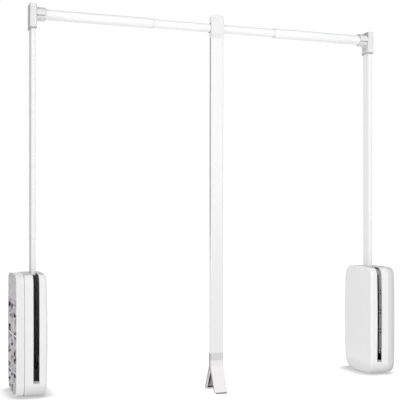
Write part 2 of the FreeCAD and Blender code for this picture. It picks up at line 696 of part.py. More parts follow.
def rail_connector():
    z0, z1 = RAIL_Z - CONNECTOR_BELOW, RAIL_Z + CONNECTOR_ABOVE
    block = box(
        ARM_FROM_WALL - CONNECTOR_WIDTH / 2, ARM_FROM_WALL + CONNECTOR_WIDTH / 2,
        ARM_Y - CONNECTOR_DEPTH / 2, ARM_Y + CONNECTOR_DEPTH / 2, z0, z1,
    )
    block = block.makeFillet(CONNECTOR_EDGE_R, parallel_edges(block, Vector(0, 0, 1)))
    rim = [e for e in block.Edges if e.BoundBox.ZMin > z1 - 0.01]
    block = block.makeFillet(CONNECTOR_EDGE_R / 2, rim)
    arch_r = (CONNECTOR_DEPTH ** 2 / 4 + CONNECTOR_ARCH ** 2) / (2 * CONNECTOR_ARCH)
    arch = cylinder_x(0, 2 * ARM_FROM_WALL, ARM_Y, z0 + CONNECTOR_ARCH - arch_r, arch_r)
    socket_x1 = ARM_FROM_WALL + SOCKET_END_FROM_ARM
    socket = cylinder_x(ARM_FROM_WALL, socket_x1, ARM_Y, RAIL_Z, SOCKET_R)
    socket = socket.makeFillet(SOCKET_EDGE_R, [e for e in socket.Edges if e.BoundBox.XMin > socket_x1 - 0.01])
    body = fuse([block.cut(arch), socket])
    pocket = rounded_bar(
        ARM_FROM_WALL, ARM_Y, ARM_WIDTH, ARM_DEPTH, z0 - OVERLAP, ARM_TOP_Z, ARM_EDGE_R,
    )
    bore = cylinder_x(ARM_FROM_WALL + RAIL_START_FROM_ARM, socket_x1 + OVERLAP, ARM_Y, RAIL_Z, OUTER_TUBE_R)
    slit_z = RAIL_Z - SOCKET_SLIT_BELOW_AXIS
    slit = box(
        ARM_FROM_WALL + CONNECTOR_WIDTH / 2, socket_x1 + OVERLAP, ARM_Y - SOCKET_R - OVERLAP, ARM_Y,
        slit_z - SOCKET_SLIT / 2, slit_z + SOCKET_SLIT / 2,
    )
    screw_z = RAIL_Z - CONNECTOR_SCREW_BELOW
    screw = cylinder_x(ARM_FROM_WALL, ARM_FROM_WALL + CONNECTOR_WIDTH, ARM_Y, screw_z, CONNECTOR_SCREW_R)
    return cut(body, [pocket, bore, slit, screw])


def connector_screw():
    z = RAIL_Z - CONNECTOR_SCREW_BELOW
    face = ARM_FROM_WALL + CONNECTOR_WIDTH / 2
    head = cylinder_x(face, face + CONNECTOR_SCREW_HEAD, ARM_Y, z, CONNECTOR_SCREW_HEAD_R)
    rim = [e for e in head.Edges if e.BoundBox.XMin > face + CONNECTOR_SCREW_HEAD - 0.01]
    shank = cylinder_x(ARM_FROM_WALL + CONNECTOR_SCREW_TIP, face, ARM_Y, z, CONNECTOR_SCREW_R)
    return fuse([shank, head.makeFillet(CONNECTOR_SCREW_EDGE_R, rim)])


def outer_rail_tube(end):
    x0 = ARM_FROM_WALL + RAIL_START_FROM_ARM
    return tube_x(x0, ARM_FROM_WALL + end, ARM_Y, RAIL_Z, OUTER_TUBE_R, OUTER_TUBE_R - OUTER_TUBE_WALL)


def glide_sleeve(end):
    """Thin sleeve with a rim at the mouth of an outer tube."""
    mouth = ARM_FROM_WALL + end
    inner = MIDDLE_TUBE_R + SLEEVE_GAP
    sleeve = tube_x(mouth - SLEEVE_LENGTH, mouth, ARM_Y, RAIL_Z, OUTER_TUBE_R - OUTER_TUBE_WALL, inner)
    rim = tube_x(mouth, mouth + SLEEVE_RIM, ARM_Y, RAIL_Z, OUTER_TUBE_R, inner)
    return fuse([sleeve, rim])


# --- spring strut pieces, built hanging from the origin ---
def strut_angle():
    """Turn about X, in degrees, that lays the strut from its anchor to the crank pin, with its lean."""
    line = CRANK_PIN - STRUT_TOP
    return math.degrees(math.atan2(line.z, line.y)) + 90 + STRUT_LEAN


def strut_tube():
    body = Part.makeCylinder(STRUT_R, STRUT_TUBE_END - STRUT_TUBE_START, Vector(0, 0, -STRUT_TUBE_END))
    guide = Vector(0, 0, -STRUT_TUBE_END + STRUT_GUIDE)
    bore = Part.makeCylinder(STRUT_R - STRUT_WALL, STRUT_TUBE_END, guide)
    mouth = Part.makeCylinder(STRUT_GUIDE_R, STRUT_TUBE_END, Vector(0, 0, -STRUT_TUBE_END - OVERLAP))
    return point_down(cut(body, [bore, mouth]), STRUT_TOP, strut_angle())


def strut_top_eye():
    half = TOP_EYE_WIDTH / 2
    bore = STRUT_R - STRUT_WALL
    eye = cylinder_x(-half, half, 0, 0, TOP_EYE_R)
    neck = Part.makeCylinder(TOP_EYE_WIDTH / 2, STRUT_PLUG_END, Vector(0, 0, -STRUT_PLUG_END))
    plug = Part.makeCylinder(bore, STRUT_PLUG_END - STRUT_TUBE_START, Vector(0, 0, -STRUT_PLUG_END))
    piece = fuse([eye, neck, plug])
    piece = piece.cut(cylinder_x(-STRUT_R, STRUT_R, 0, 0, ANCHOR_R + RUNNING_GAP))
    return point_down(piece, STRUT_TOP, strut_angle())


def strut_rod():
    rod = Part.makeCylinder(ROD_R, ROD_LENGTH - ROD_START, Vector(0, 0, ROD_START))
    return point_down(rod, CRANK_PIN, strut_angle())


def rod_eye():
    half = ROD_EYE_WIDTH / 2
    eye = cylinder_x(-half, half, 0, 0, ROD_EYE_R)
    neck = Part.makeCylinder(ROD_NECK_R, ROD_NECK_END - ROD_NECK_START, Vector(0, 0, ROD_NECK_START))
    piece = fuse([eye, neck])
    piece = cut(piece, [
        cylinder_x(-ROD_EYE_R, ROD_EYE_R, 0, 0, CRANK_PIN_R + RUNNING_GAP),
        Part.makeCylinder(ROD_R, ROD_LENGTH, Vector(0, 0, ROD_START)),
    ])
    return point_down(piece, CRANK_PIN, strut_angle())


# --- rail middle and handle pieces ---
def middle_rail_tube():
    half = MIDDLE_TUBE_LENGTH / 2
    inner = MIDDLE_TUBE_R - MIDDLE_TUBE_WALL
    tube = tube_x(HANDLE_X - half, HANDLE_X + half, ARM_Y, RAIL_Z, MIDDLE_TUBE_R, inner)
    return tube.cut(grub_cylinder(inner - OVERLAP, MIDDLE_TUBE_R + OVERLAP))


def grub_cylinder(near, far):
    """Cylinder of the grub screw, between two distances above the rail axis."""
    x = HANDLE_X + RAIL_BUSH_HALF - RAIL_BUSH_FLANGE / 2
    return Part.makeCylinder(GRUB_R, far - near, Vector(x, ARM_Y, RAIL_Z + near), Vector(0, 0, 1))


def rail_bush():
    x0, x1 = HANDLE_X - RAIL_BUSH_HALF, HANDLE_X + RAIL_BUSH_HALF
    sleeve = tube_x(x0, x1, ARM_Y, RAIL_Z, MIDDLE_TUBE_R + RAIL_BUSH_WALL, MIDDLE_TUBE_R)
    left = tube_x(x0, x0 + RAIL_BUSH_FLANGE, ARM_Y, RAIL_Z, RAIL_BUSH_FLANGE_R, MIDDLE_TUBE_R)
    right = tube_x(x1 - RAIL_BUSH_FLANGE, x1, ARM_Y, RAIL_Z, RAIL_BUSH_FLANGE_R, MIDDLE_TUBE_R)
    hole = grub_cylinder(MIDDLE_TUBE_R - OVERLAP, RAIL_BUSH_FLANGE_R + OVERLAP)
    return fuse([sleeve, left, right]).cut(hole)


def bush_grub_screw():
    return grub_cylinder(MIDDLE_TUBE_R - MIDDLE_TUBE_WALL, RAIL_BUSH_FLANGE_R - GRUB_SUNK)


def loop_bore():
    """Room in the head for the bush and its flanges."""
    running = MIDDLE_TUBE_R + RAIL_BUSH_WALL + RUNNING_GAP
    core = cylinder_x(HANDLE_X - HANDLE_WIDTH, HANDLE_X + HANDLE_WIDTH, ARM_Y, RAIL_Z, running)
    flange_room = RAIL_BUSH_FLANGE_R + EYE_GAP
    left = cylinder_x(HANDLE_X - HANDLE_WIDTH, HANDLE_X - LOOP_HALF_WIDTH, ARM_Y, RAIL_Z, flange_room)
    right = cylinder_x(HANDLE_X + LOOP_HALF_WIDTH, HANDLE_X + HANDLE_WIDTH, ARM_Y, RAIL_Z, flange_room)
    return [core, left, right]


def cap_screw_bars(y0, y1, radius):
    """A cylinder on each of the two cap screws' axes."""
    zs = (RAIL_Z - CAP_SCREW_OFFSET, RAIL_Z + CAP_SCREW_OFFSET)
    return [cylinder_y(y0, y1, HANDLE_X, z, radius) for z in zs]


def handle_head():
    """Front half of the head: a plate over the rail, half of the loop and a tongue into the bar."""
    half = HANDLE_WIDTH / 2
    front = ARM_Y - HEAD_FRONT
    z0, z1 = RAIL_Z - HEAD_BELOW, RAIL_Z + HEAD_ABOVE
    plate = box(HANDLE_X - half, HANDLE_X + half, front, ARM_Y, z0, z1)
    upper = [e for e in parallel_edges(plate, Vector(0, 1, 0)) if e.BoundBox.ZMin > z1 - 0.01]
    plate = plate.makeFillet(HEAD_CORNER_R, upper)
    front_rim = [e for e in plate.Edges if e.BoundBox.YMax < front + 0.01 and e.BoundBox.ZMax > z0 + 0.01]
    plate = plate.makeFillet(HEAD_EDGE_R, front_rim)
    bar_front = ARM_Y - BAR_FRONT
    slope = Part.makePolygon([
        Vector(0, front - OVERLAP, z0 - OVERLAP), Vector(0, bar_front, z0 - OVERLAP), Vector(0, bar_front, z0),
        Vector(0, front, z0 + HEAD_TAPER), Vector(0, front - OVERLAP, z0 + HEAD_TAPER),
        Vector(0, front - OVERLAP, z0 - OVERLAP),
    ])
    wedge = Part.Face(slope).extrude(Vector(HANDLE_WIDTH + 2 * OVERLAP, 0, 0))
    plate = plate.cut(wedge.translated(Vector(HANDLE_X - half - OVERLAP, 0, 0)))
    tongue_y0 = ARM_Y - BAR_FRONT + BAR_WALL
    tongue_y1 = tongue_y0 + BAR_THICK - 2 * BAR_WALL
    tongue = box(
        HANDLE_X - half + BAR_WALL, HANDLE_X + half - BAR_WALL, tongue_y0, tongue_y1,
        z0 - TONGUE, z0 + OVERLAP,
    )
    tongue = tongue.makeFillet(BAR_EDGE_R - BAR_WALL, parallel_edges(tongue, Vector(0, 0, 1)))
    piece = fuse([plate, tongue])
    screws = cap_screw_bars(ARM_Y - CAP_SCREW_DEPTH, ARM_Y + OVERLAP, CAP_SCREW_R)
    return tilt_handle(cut(piece, loop_bore() + screws))


def handle_head_cap():
    """Rear half of the loop, screwed to the head."""
    x0, x1 = HANDLE_X - LOOP_HALF_WIDTH, HANDLE_X + LOOP_HALF_WIDTH
    ring = cylinder_x(x0, x1, ARM_Y, RAIL_Z, LOOP_R)
    ears = box(x0, x1, ARM_Y, ARM_Y + LOOP_EAR, RAIL_Z - LOOP_HALF_HEIGHT, RAIL_Z + LOOP_HALF_HEIGHT)
    behind = box(x0, x1, ARM_Y, ARM_Y + 2 * LOOP_R, RAIL_Z - 2 * LOOP_R, RAIL_Z + 2 * LOOP_R)
    piece = fuse([ring.common(behind), ears])
    screws = cap_screw_bars(ARM_Y - OVERLAP, ARM_Y + 2 * LOOP_R, CAP_SCREW_R)
    return tilt_handle(cut(piece, loop_bore() + screws))


def head_cap_screws():
    rear = ARM_Y + LOOP_EAR
    shanks = cap_screw_bars(ARM_Y - CAP_SCREW_DEPTH, rear, CAP_SCREW_R)
    heads = cap_screw_bars(rear, rear + CAP_SCREW_HEAD, CAP_SCREW_HEAD_R)
    return Part.makeCompound([tilt_handle(fuse([s, h])) for s, h in zip(shanks, heads)])


def handle_bar():
    outer = rounded_bar(HANDLE_X, BAR_MIDDLE_Y, HANDLE_WIDTH, BAR_THICK, BAR_BOTTOM_Z, BAR_TOP_Z, BAR_EDGE_R)
    inner = rounded_bar(
        HANDLE_X, BAR_MIDDLE_Y, HANDLE_WIDTH - 2 * BAR_WALL, BAR_THICK - 2 * BAR_WALL,
        BAR_BOTTOM_Z - OVERLAP, BAR_TOP_Z + OVERLAP, BAR_EDGE_R - BAR_WALL,
    )
    rear_wall = cylinder_y(
        BAR_MIDDLE_Y, BAR_MIDDLE_Y + BAR_THICK, HANDLE_X, BAR_BOTTOM_Z + GRIP_SCREW_UP, GRIP_SCREW_R,
    )
    return tilt_handle(outer.cut(inner).cut(rear_wall))


def spigot_bar():
    """Section that fills the hollow of the bar, from inside it down through the collar."""
    return rounded_bar(
        HANDLE_X, BAR_MIDDLE_Y, HANDLE_WIDTH - 2 * BAR_WALL, BAR_THICK - 2 * BAR_WALL,
        COLLAR_BOTTOM_Z, COLLAR_BOTTOM_Z + SPIGOT, BAR_EDGE_R - BAR_WALL,
    )


def grip_collar():
    collar = rounded_bar(
        HANDLE_X, BAR_MIDDLE_Y, HANDLE_WIDTH + 2 * COLLAR_PROUD, BAR_THICK + 2 * COLLAR_PROUD,
        COLLAR_BOTTOM_Z, BAR_BOTTOM_Z, BAR_EDGE_R,
    )
    return tilt_handle(collar.cut(spigot_bar()))


def leaf_profile(y_sign):
    """Side view of one leaf of the fork, from the solid part out to its tip."""
    y = BAR_MIDDLE_Y
    half = BAR_THICK / 2
    top = COLLAR_BOTTOM_Z
    fork = top - GRIP_CROTCH
    outer_top = Vector(0, y + y_sign * half, fork)
    outer_tip = Vector(0, y + y_sign * GRIP_SPREAD, top - GRIP_LENGTH)
    crotch, inner_tip = leaf_inner_line(y_sign)
    middle_top = Vector(0, y, top)
    shoulder = Vector(0, y + y_sign * half, top)
    return Part.makePolygon([shoulder, outer_top, outer_tip, inner_tip, crotch, middle_top, shoulder])


def leaf_inner_line(y_sign):
    """Top and bottom of a leaf's inner face in side view."""
    crotch = Vector(0, BAR_MIDDLE_Y, COLLAR_BOTTOM_Z - GRIP_CROTCH * 4 / 3)
    inner_tip = Vector(0, BAR_MIDDLE_Y + y_sign * (GRIP_SPREAD - GRIP_LEAF), COLLAR_BOTTOM_Z - GRIP_LENGTH)
    return crotch, inner_tip


def leaf_pocket(y_sign):
    """Hollow in the inner face of a leaf, inside a rim."""
    crotch, inner_tip = leaf_inner_line(y_sign)
    along = (inner_tip - crotch).normalize()
    outward = Vector(0, -along.z * y_sign, along.y * y_sign)
    top = crotch + along * (GRIP_POCKET + GRIP_POCKET_RIM)
    bottom = inner_tip - along * GRIP_POCKET_RIM
    side = Part.makePolygon([
        top - outward * OVERLAP, bottom - outward * OVERLAP, bottom + outward * GRIP_POCKET,
        top + outward * GRIP_POCKET, top - outward * OVERLAP,
    ])
    width = HANDLE_WIDTH - 2 * GRIP_POCKET_RIM
    return Part.Face(side).extrude(Vector(width, 0, 0)).translated(Vector(HANDLE_X - width / 2, 0, 0))


def handle_grip():
    """Forked grip: a solid neck that splits into a front and a rear leaf, on a spigot into the bar."""
    half = HANDLE_WIDTH / 2
    tip = COLLAR_BOTTOM_Z - GRIP_LENGTH
    leaves = []
    for y_sign in (-1, 1):
        face = Part.Face(leaf_profile(y_sign))
        leaf = face.extrude(Vector(HANDLE_WIDTH, 0, 0)).translated(Vector(HANDLE_X - half, 0, 0))
        leaves.append(leaf)
    fork = fuse(leaves)
    trim = box(HANDLE_X - half, HANDLE_X + half, -2 * HOUSING_DEPTH, 2 * HOUSING_DEPTH, tip, COLLAR_BOTTOM_Z)
    low = [e for e in parallel_edges(trim, Vector(0, 1, 0)) if e.BoundBox.ZMax < tip + 0.01]
    fork = fork.common(trim.makeFillet(GRIP_CORNER_R, low))
    piece = cut(fuse([fork, spigot_bar()]), [leaf_pocket(-1), leaf_pocket(1)])
    screw_z = BAR_BOTTOM_Z + GRIP_SCREW_UP
    piece = piece.cut(cylinder_y(BAR_MIDDLE_Y, BAR_MIDDLE_Y + BAR_THICK, HANDLE_X, screw_z, GRIP_SCREW_R))
    return tilt_handle(piece)


def grip_screw():
    z = BAR_BOTTOM_Z + GRIP_SCREW_UP
    rear = BAR_MIDDLE_Y + BAR_THICK / 2
    shank = cylinder_y(BAR_MIDDLE_Y, rear, HANDLE_X, z, GRIP_SCREW_R)
    head = cylinder_y(rear, rear + GRIP_SCREW_HEAD, HANDLE_X, z, GRIP_SCREW_HEAD_R)
    return tilt_handle(fuse([shank, head]))


# --- build every node ---
def save(name, shape):
    if not shape.isValid():
        print("NOT VALID", name)
    print(f"{name:28s} solids {len(shape.Solids):2d}  volume {shape.Volume:12.1f}")
    shape.exportStep(f"parts/{name}.step")


def right_hand(shape):
    return shape.mirror(Vector(WALL_TO_WALL / 2, 0, 0), Vector(1, 0, 0))


def build():
    os.makedirs("parts", exist_ok=True)
    side_pieces = {
        "base_shell": base_shell,
        "mechanism_plate": mechanism_plate,
        "plate_screws": plate_screws,
        "pivot_shaft": pivot_shaft,
        "shaft_clips": shaft_clips,
        "strut_anchor": strut_anchor,
        "cover": cover,
        "slot_guard": slot_guard,
        "slot_buffers": slot_buffers,
        "arm_tube": arm_tube,
        "crank_cheek": crank_cheek,
        "plain_cheek": plain_cheek,
        "crank_pin": crank_pin,
        "arm_rivets": arm_rivets,
        "arm_bushes": arm_bushes,
        "rail_connector": rail_connector,
        "connector_screw": connector_screw,
        "strut_tube": strut_tube,
        "strut_top_eye": strut_top_eye,
        "strut_rod": strut_rod,
        "rod_eye": rod_eye,
    }
    for name, make in side_pieces.items():
        shape = make()
        save(f"left_{name}", shape)
        save(f"right_{name}", right_hand(shape))
    save("left_rail_tube", outer_rail_tube(LEFT_TUBE_END))
    save("left_glide_sleeve", glide_sleeve(LEFT_TUBE_END))
    save("right_rail_tube", right_hand(outer_rail_tube(RIGHT_TUBE_END)))
    save("right_glide_sleeve", right_hand(glide_sleeve(RIGHT_TUBE_END)))
    middle_pieces = {
        "middle_rail_tube": middle_rail_tube,
        "rail_bush": rail_bush,
        "bush_grub_screw": bush_grub_screw,
        "handle_head": handle_head,
        "handle_head_cap": handle_head_cap,
        "head_cap_screws": head_cap_screws,
        "handle_bar": handle_bar,
        "grip_collar": grip_collar,
        "handle_grip": handle_grip,
        "grip_screw": grip_screw,
    }
    for name, make in middle_pieces.items():
        save(name, make())


build()
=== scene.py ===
import math

import bpy
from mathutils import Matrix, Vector


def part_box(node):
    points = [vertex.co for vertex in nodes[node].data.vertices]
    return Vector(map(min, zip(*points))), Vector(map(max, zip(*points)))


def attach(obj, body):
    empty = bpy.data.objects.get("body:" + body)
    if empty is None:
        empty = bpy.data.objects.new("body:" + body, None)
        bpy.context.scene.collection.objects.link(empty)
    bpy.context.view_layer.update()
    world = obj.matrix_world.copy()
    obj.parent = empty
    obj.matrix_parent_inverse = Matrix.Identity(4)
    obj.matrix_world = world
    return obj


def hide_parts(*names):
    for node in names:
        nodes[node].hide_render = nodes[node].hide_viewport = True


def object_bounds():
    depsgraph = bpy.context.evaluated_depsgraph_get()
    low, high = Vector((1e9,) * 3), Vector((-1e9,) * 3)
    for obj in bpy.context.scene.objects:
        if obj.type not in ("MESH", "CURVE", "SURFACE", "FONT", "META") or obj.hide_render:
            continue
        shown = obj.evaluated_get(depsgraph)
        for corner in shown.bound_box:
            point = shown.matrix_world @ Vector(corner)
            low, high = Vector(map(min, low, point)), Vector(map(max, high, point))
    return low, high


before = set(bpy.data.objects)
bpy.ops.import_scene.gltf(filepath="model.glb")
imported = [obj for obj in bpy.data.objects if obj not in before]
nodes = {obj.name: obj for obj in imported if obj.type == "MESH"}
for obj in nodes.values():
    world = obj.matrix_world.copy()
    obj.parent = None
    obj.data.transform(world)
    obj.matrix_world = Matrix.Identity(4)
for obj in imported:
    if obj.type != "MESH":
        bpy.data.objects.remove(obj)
cad_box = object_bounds()
SIDES = ("left", "right")


# --- base shells ---
# Each base shell lies flat on a side panel of the wardrobe and carries all that turns in the housing.
# It is a shallow white ABS moulding, open and ribbed on its back, with four bosses for the wall screws.
def add(tree, kind, settings=None, **values):
    """A shader or geometry node with its settings and its sockets' values."""
    made = tree.nodes.new(kind)
    for key, value in (settings or {}).items():
        setattr(made, key, value)
    for key, value in values.items():
        made.inputs[key.replace("_", " ")].default_value = value
    return made


def soft_edges(tree, radius):
    """Normals rounded over the moulded or cut edges, as the real tool leaves them."""
    return add(tree, "ShaderNodeBevel", {"samples": 4}, Radius=radius).outputs["Normal"]


def relief(tree, pattern, under, strength, depth):
    """A bump from a pattern, laid over other normals."""
    bump = add(tree, "ShaderNodeBump", None, Strength=strength, Distance=depth)
    tree.links.new(pattern, bump.inputs["Height"])
    tree.links.new(under, bump.inputs["Normal"])
    return bump.outputs["Normal"]


def spread(tree, pattern, low, high):
    """A noise, which mostly lies between 0.3 and 0.7, spread between two values."""
    ranged = add(tree, "ShaderNodeMapRange", None, From_Min=0.3, From_Max=0.7, To_Min=low, To_Max=high)
    tree.links.new(pattern, ranged.inputs["Value"])
    return ranged.outputs["Result"]


def tones(tree, pattern, first, second):
    """A colour that wanders between two tones."""
    mixed = add(tree, "ShaderNodeMix", {"data_type": "RGBA"})
    mixed.inputs["A"].default_value = (*first, 1)
    mixed.inputs["B"].default_value = (*second, 1)
    tree.links.new(pattern, mixed.inputs["Factor"])
    return mixed.outputs["Result"]


def noise(tree, place, size, detail=2.0, distortion=0.0):
    """A noise whose features are about as large as the size given in metres."""
    made = add(tree, "ShaderNodeTexNoise", None, Scale=1 / size, Detail=detail, Distortion=distortion)
    tree.links.new(place, made.inputs["Vector"])
    return made.outputs["Fac"]


def new_material(name):
    """A material with its node tree and its shader."""
    material = bpy.data.materials.new(name)
    material.use_nodes = True
    tree = material.node_tree
    return material, tree, tree.nodes["Principled BSDF"]


def own_place(tree):
    """The object's own coordinates."""
    return tree.nodes.new("ShaderNodeTexCoord").outputs["Object"]


def moulded(name, first, second, roughness, grain, depth, edge=0.0005):
    """Moulded plastic: slow clouds of two tones, flow-dulled patches, faint sinks and a fine eroded grain."""
    material, tree, shader = new_material(name)
    place = own_place(tree)
    clouds = noise(tree, place, size=0.09, detail=3.0)
    tree.links.new(tones(tree, clouds, first, second), shader.inputs["Base Color"])
    patches = noise(tree, place, size=0.018, detail=4.0, distortion=0.4)
    tree.links.new(spread(tree, patches, roughness - 0.04, roughness + 0.05), shader.inputs["Roughness"])
    fine = noise(tree, place, size=grain, detail=3.0)
    sink = noise(tree, place, size=0.035, detail=1.0)
    under = relief(tree, sink, soft_edges(tree, edge), strength=0.12, depth=0.0006)
    normal = relief(tree, fine, under, strength=0.35, depth=depth)
    tree.links.new(normal, shader.inputs["Normal"])
    shader.inputs["IOR"].default_value = 1.5
    shader.inputs["Specular IOR Level"].default_value = 0.32
    return material


def dress(material, *names):
    """Gives nodes of the frame their finish."""
    for name in names:
        for held in nodes[name].material_slots:
            held.material = material


def both(name):
    """The left and the right node of a pair."""
    return [f"{side}_{name}" for side in SIDES]


def formula(tree, kind, first, second=0.0):
    """A sum, product, comparison or the like of two sockets or numbers."""
    made = tree.nodes.new("ShaderNodeMath")
    made.operation = kind
    for index, value in enumerate((first, second)):
        if isinstance(value, (int, float)):
            made.inputs[index].default_value = value
        else:
            tree.links.new(value, made.inputs[index])
    return made.outputs[0]


def axes(tree, vector):
    """The three sockets X, Y and Z of a vector."""
    parts = tree.nodes.new("ShaderNodeSeparateXYZ")
    tree.links.new(vector, parts.inputs["Vector"])
    return parts.outputs["X"], parts.outputs["Y"], parts.outputs["Z"]


def blend(tree, mask, first, second):
    """One colour where the mask is 0, the other where it is 1."""
    mixed = add(tree, "ShaderNodeMix", {"data_type": "RGBA"})
    tree.links.new(mask, mixed.inputs["Factor"])
    tree.links.new(first, mixed.inputs["A"])
    tree.links.new(second, mixed.inputs["B"])
    return mixed.outputs["Result"]


def reopened(material):
    """A finished material's node tree, and the object's own coordinates in it."""
    tree = material.node_tree
    return tree, own_place(tree)


def facing(tree):
    """The three parts of the direction that a face looks in."""
    return axes(tree, tree.nodes.new("ShaderNodeNewGeometry").outputs["Normal"])


def lay_over(tree, mask, colour):
    """Another colour over the material's own, where the mask is 1."""
    skin = tree.nodes["Principled BSDF"].inputs["Base Color"]
    tree.links.new(blend(tree, mask, skin.links[0].from_socket, colour), skin)


def shade_towards(material, axis, level, reach, first, second):
    """Painted shade: grey towards one level of an axis, and none from a signed reach away from it."""
    tree, place = reopened(material)
    near = add(tree, "ShaderNodeMapRange", None, From_Min=level + reach, From_Max=level)
    tree.links.new(axes(tree, place)[axis], near.inputs["Value"])
    grey = tones(tree, noise(tree, place, size=0.02, detail=3.0), first, second)
    lay_over(tree, near.outputs["Result"], grey)


# The pockets lie within these distances from the centre. What lies hardly behind the wall plane is no pocket
# but a rib's top or, above the top rib, the closed panel.
POCKETS_HALF_DEPTH = 0.062
POCKETS_HALF_HEIGHT = 0.104
HARDLY_BEHIND = 0.0006
TOP_RIB_HEIGHT = 0.0785
LOOKS_SIDEWAYS = 0.7
LOOKS_INWARD = -0.01
# Size and spread of the mottle in the painted shade on the back.
SHADE_MOTTLE_SIZE = 0.016
SHADE_MOTTLE_CONTRAST = (-0.6, 2.1)


def shaded_back(material, grey, floor, wall, pale):
    """Painted shade on the side against the wall: grey, lighter on the rib tops, and darker and mottled in
    its pockets.
    """
    tree, place = reopened(material)
    x, y, z = axes(tree, place)
    across, along, up = facing(tree)
    sideways = formula(tree, "GREATER_THAN", formula(tree, "ABSOLUTE", across), LOOKS_SIDEWAYS)
    centre = (cad_box[0].x + cad_box[1].x) / 2
    from_centre = formula(tree, "ABSOLUTE", formula(tree, "SUBTRACT", x, centre))
    behind = formula(tree, "LESS_THAN", from_centre, (cad_box[1].x - cad_box[0].x) / 2 - HARDLY_BEHIND)
    outward = formula(tree, "ADD", formula(tree, "MULTIPLY", y, along), formula(tree, "MULTIPLY", z, up))
    inner_wall = formula(tree, "LESS_THAN", outward, LOOKS_INWARD)
    near_y = formula(tree, "LESS_THAN", formula(tree, "ABSOLUTE", y), POCKETS_HALF_DEPTH)
    near_z = formula(tree, "LESS_THAN", formula(tree, "ABSOLUTE", z), POCKETS_HALF_HEIGHT)
    inside = formula(tree, "MAXIMUM", inner_wall, formula(tree, "MULTIPLY", near_y, near_z))
    pocket_shade = formula(tree, "MULTIPLY", inside, behind)
    ribbed_part = formula(tree, "MULTIPLY", near_y, formula(tree, "LESS_THAN", z, TOP_RIB_HEIGHT))
    lit_rib_top = formula(tree, "MULTIPLY", formula(tree, "GREATER_THAN", sideways, behind), ribbed_part)
    pocket_floor_shade = formula(tree, "MULTIPLY", sideways, behind)
    shade_mottle = spread(tree, noise(tree, place, size=SHADE_MOTTLE_SIZE, detail=5.0, distortion=0.72), *SHADE_MOTTLE_CONTRAST)
    for mask, pair in ((sideways, grey), (lit_rib_top, pale), (pocket_shade, wall), (pocket_floor_shade, floor)):
        lay_over(tree, mask, tones(tree, shade_mottle, *pair))


shell_plastic = moulded(
    "shell_plastic", (0.80, 0.80, 0.81), (0.84, 0.84, 0.845),
    roughness=0.42, grain=0.0007, depth=0.00004,
)
# Painted shade greys the right shell over its whole width, most of all at its wall.
WALL_SHADE_REACH = -0.022
shade_towards(shell_plastic, 0, cad_box[1].x, WALL_SHADE_REACH, (0.54, 0.535, 0.54), (0.58, 0.575, 0.58))
# The shells' backs are painted shade: grey, lighter rib tops, dark pocket walls and floors.
shaded_back(
    shell_plastic,
    grey=((0.29, 0.275, 0.29), (0.46, 0.445, 0.46)),
    floor=((0.17, 0.16, 0.17), (0.46, 0.445, 0.46)),
    wall=((0.02, 0.018, 0.02), (0.78, 0.755, 0.78)),
    pale=((0.60, 0.59, 0.60), (0.80, 0.79, 0.80)),
)
dress(shell_plastic, *both("base_shell"))


# --- mechanism plates and their screws ---
# A punched plate of black zinc plated steel stiffens each base shell and holds the shaft and the stud of the
# strut. Four pan head screws with a cross recess drive into the shell's bosses.
def plated(name, first, second, roughness, brush=(1, 1, 1), metallic=1.0, edge=0.0003):
    """Plated, bare or thinly painted metal: cloudy tone, dull spots and fine lines drawn by a brush."""
    material, tree, shader = new_material(name)
    place = own_place(tree)
    drawn = add(tree, "ShaderNodeMapping", None, Scale=brush)
    tree.links.new(place, drawn.inputs["Vector"])
    lines = noise(tree, drawn.outputs["Vector"], size=0.0009, detail=2.0)
    clouds = noise(tree, place, size=0.012, detail=4.0, distortion=0.6)
    tree.links.new(tones(tree, clouds, first, second), shader.inputs["Base Color"])
    tree.links.new(spread(tree, clouds, roughness - 0.06, roughness + 0.08), shader.inputs["Roughness"])
    normal = relief(tree, lines, soft_edges(tree, edge), strength=0.25, depth=0.00003)
    tree.links.new(normal, shader.inputs["Normal"])
    shader.inputs["Metallic"].default_value = metallic
    return material


zinc_steel = plated(
    "zinc_steel", (0.10, 0.10, 0.105), (0.15, 0.15, 0.15),
    roughness=0.36, brush=(1, 1, 0.08),
)
dress(zinc_steel, *both("mechanism_plate"))


def new_tree(name, sizes):
    """An empty geometry tree with named size inputs, and its group input node."""
    tree = bpy.data.node_groups.new(name, "GeometryNodeTree")
    tree.interface.new_socket("Geometry", in_out="INPUT", socket_type="NodeSocketGeometry")
    for size in sizes:
        tree.interface.new_socket(size, in_out="INPUT", socket_type="NodeSocketFloat")
    tree.interface.new_socket("Turn", in_out="INPUT", socket_type="NodeSocketVector")
    tree.interface.new_socket("Finish", in_out="INPUT", socket_type="NodeSocketMaterial")
    tree.interface.new_socket("Geometry", in_out="OUTPUT", socket_type="NodeSocketGeometry")
    return tree, tree.nodes.new("NodeGroupInput")


def shifted(tree, geometry, x=0.0, y=0.0, z=0.0):
    """Geometry moved by a distance in which each part is a number or a socket."""
    offset = tree.nodes.new("ShaderNodeCombineXYZ")
    for axis, value in (("X", x), ("Y", y), ("Z", z)):
        if isinstance(value, (int, float)):
            offset.inputs[axis].default_value = value
        else:
            tree.links.new(value, offset.inputs[axis])
    moved = tree.nodes.new("GeometryNodeTransform")
    tree.links.new(geometry, moved.inputs["Geometry"])
    tree.links.new(offset.outputs["Vector"], moved.inputs["Translation"])
    return moved.outputs["Geometry"]


def round_bar(tree, radius, height, sides=40, rings=1, fill=1):
    """A cylinder standing on the ground plane."""
    bar = add(tree, "GeometryNodeMeshCylinder", {"fill_type": "TRIANGLE_FAN"}, Vertices=sides)
    bar.inputs["Side Segments"].default_value = rings
    bar.inputs["Fill Segments"].default_value = fill
    tree.links.new(radius, bar.inputs["Radius"])
    tree.links.new(height, bar.inputs["Depth"])
    return shifted(tree, bar.outputs["Mesh"], z=formula(tree, "MULTIPLY", height, 0.5))


# A head's top falls with this power of the distance from its axis.
# What lies below this share of its height isn't moved.
DOME_POWER = 4.0
TOP_SHARE = 0.9


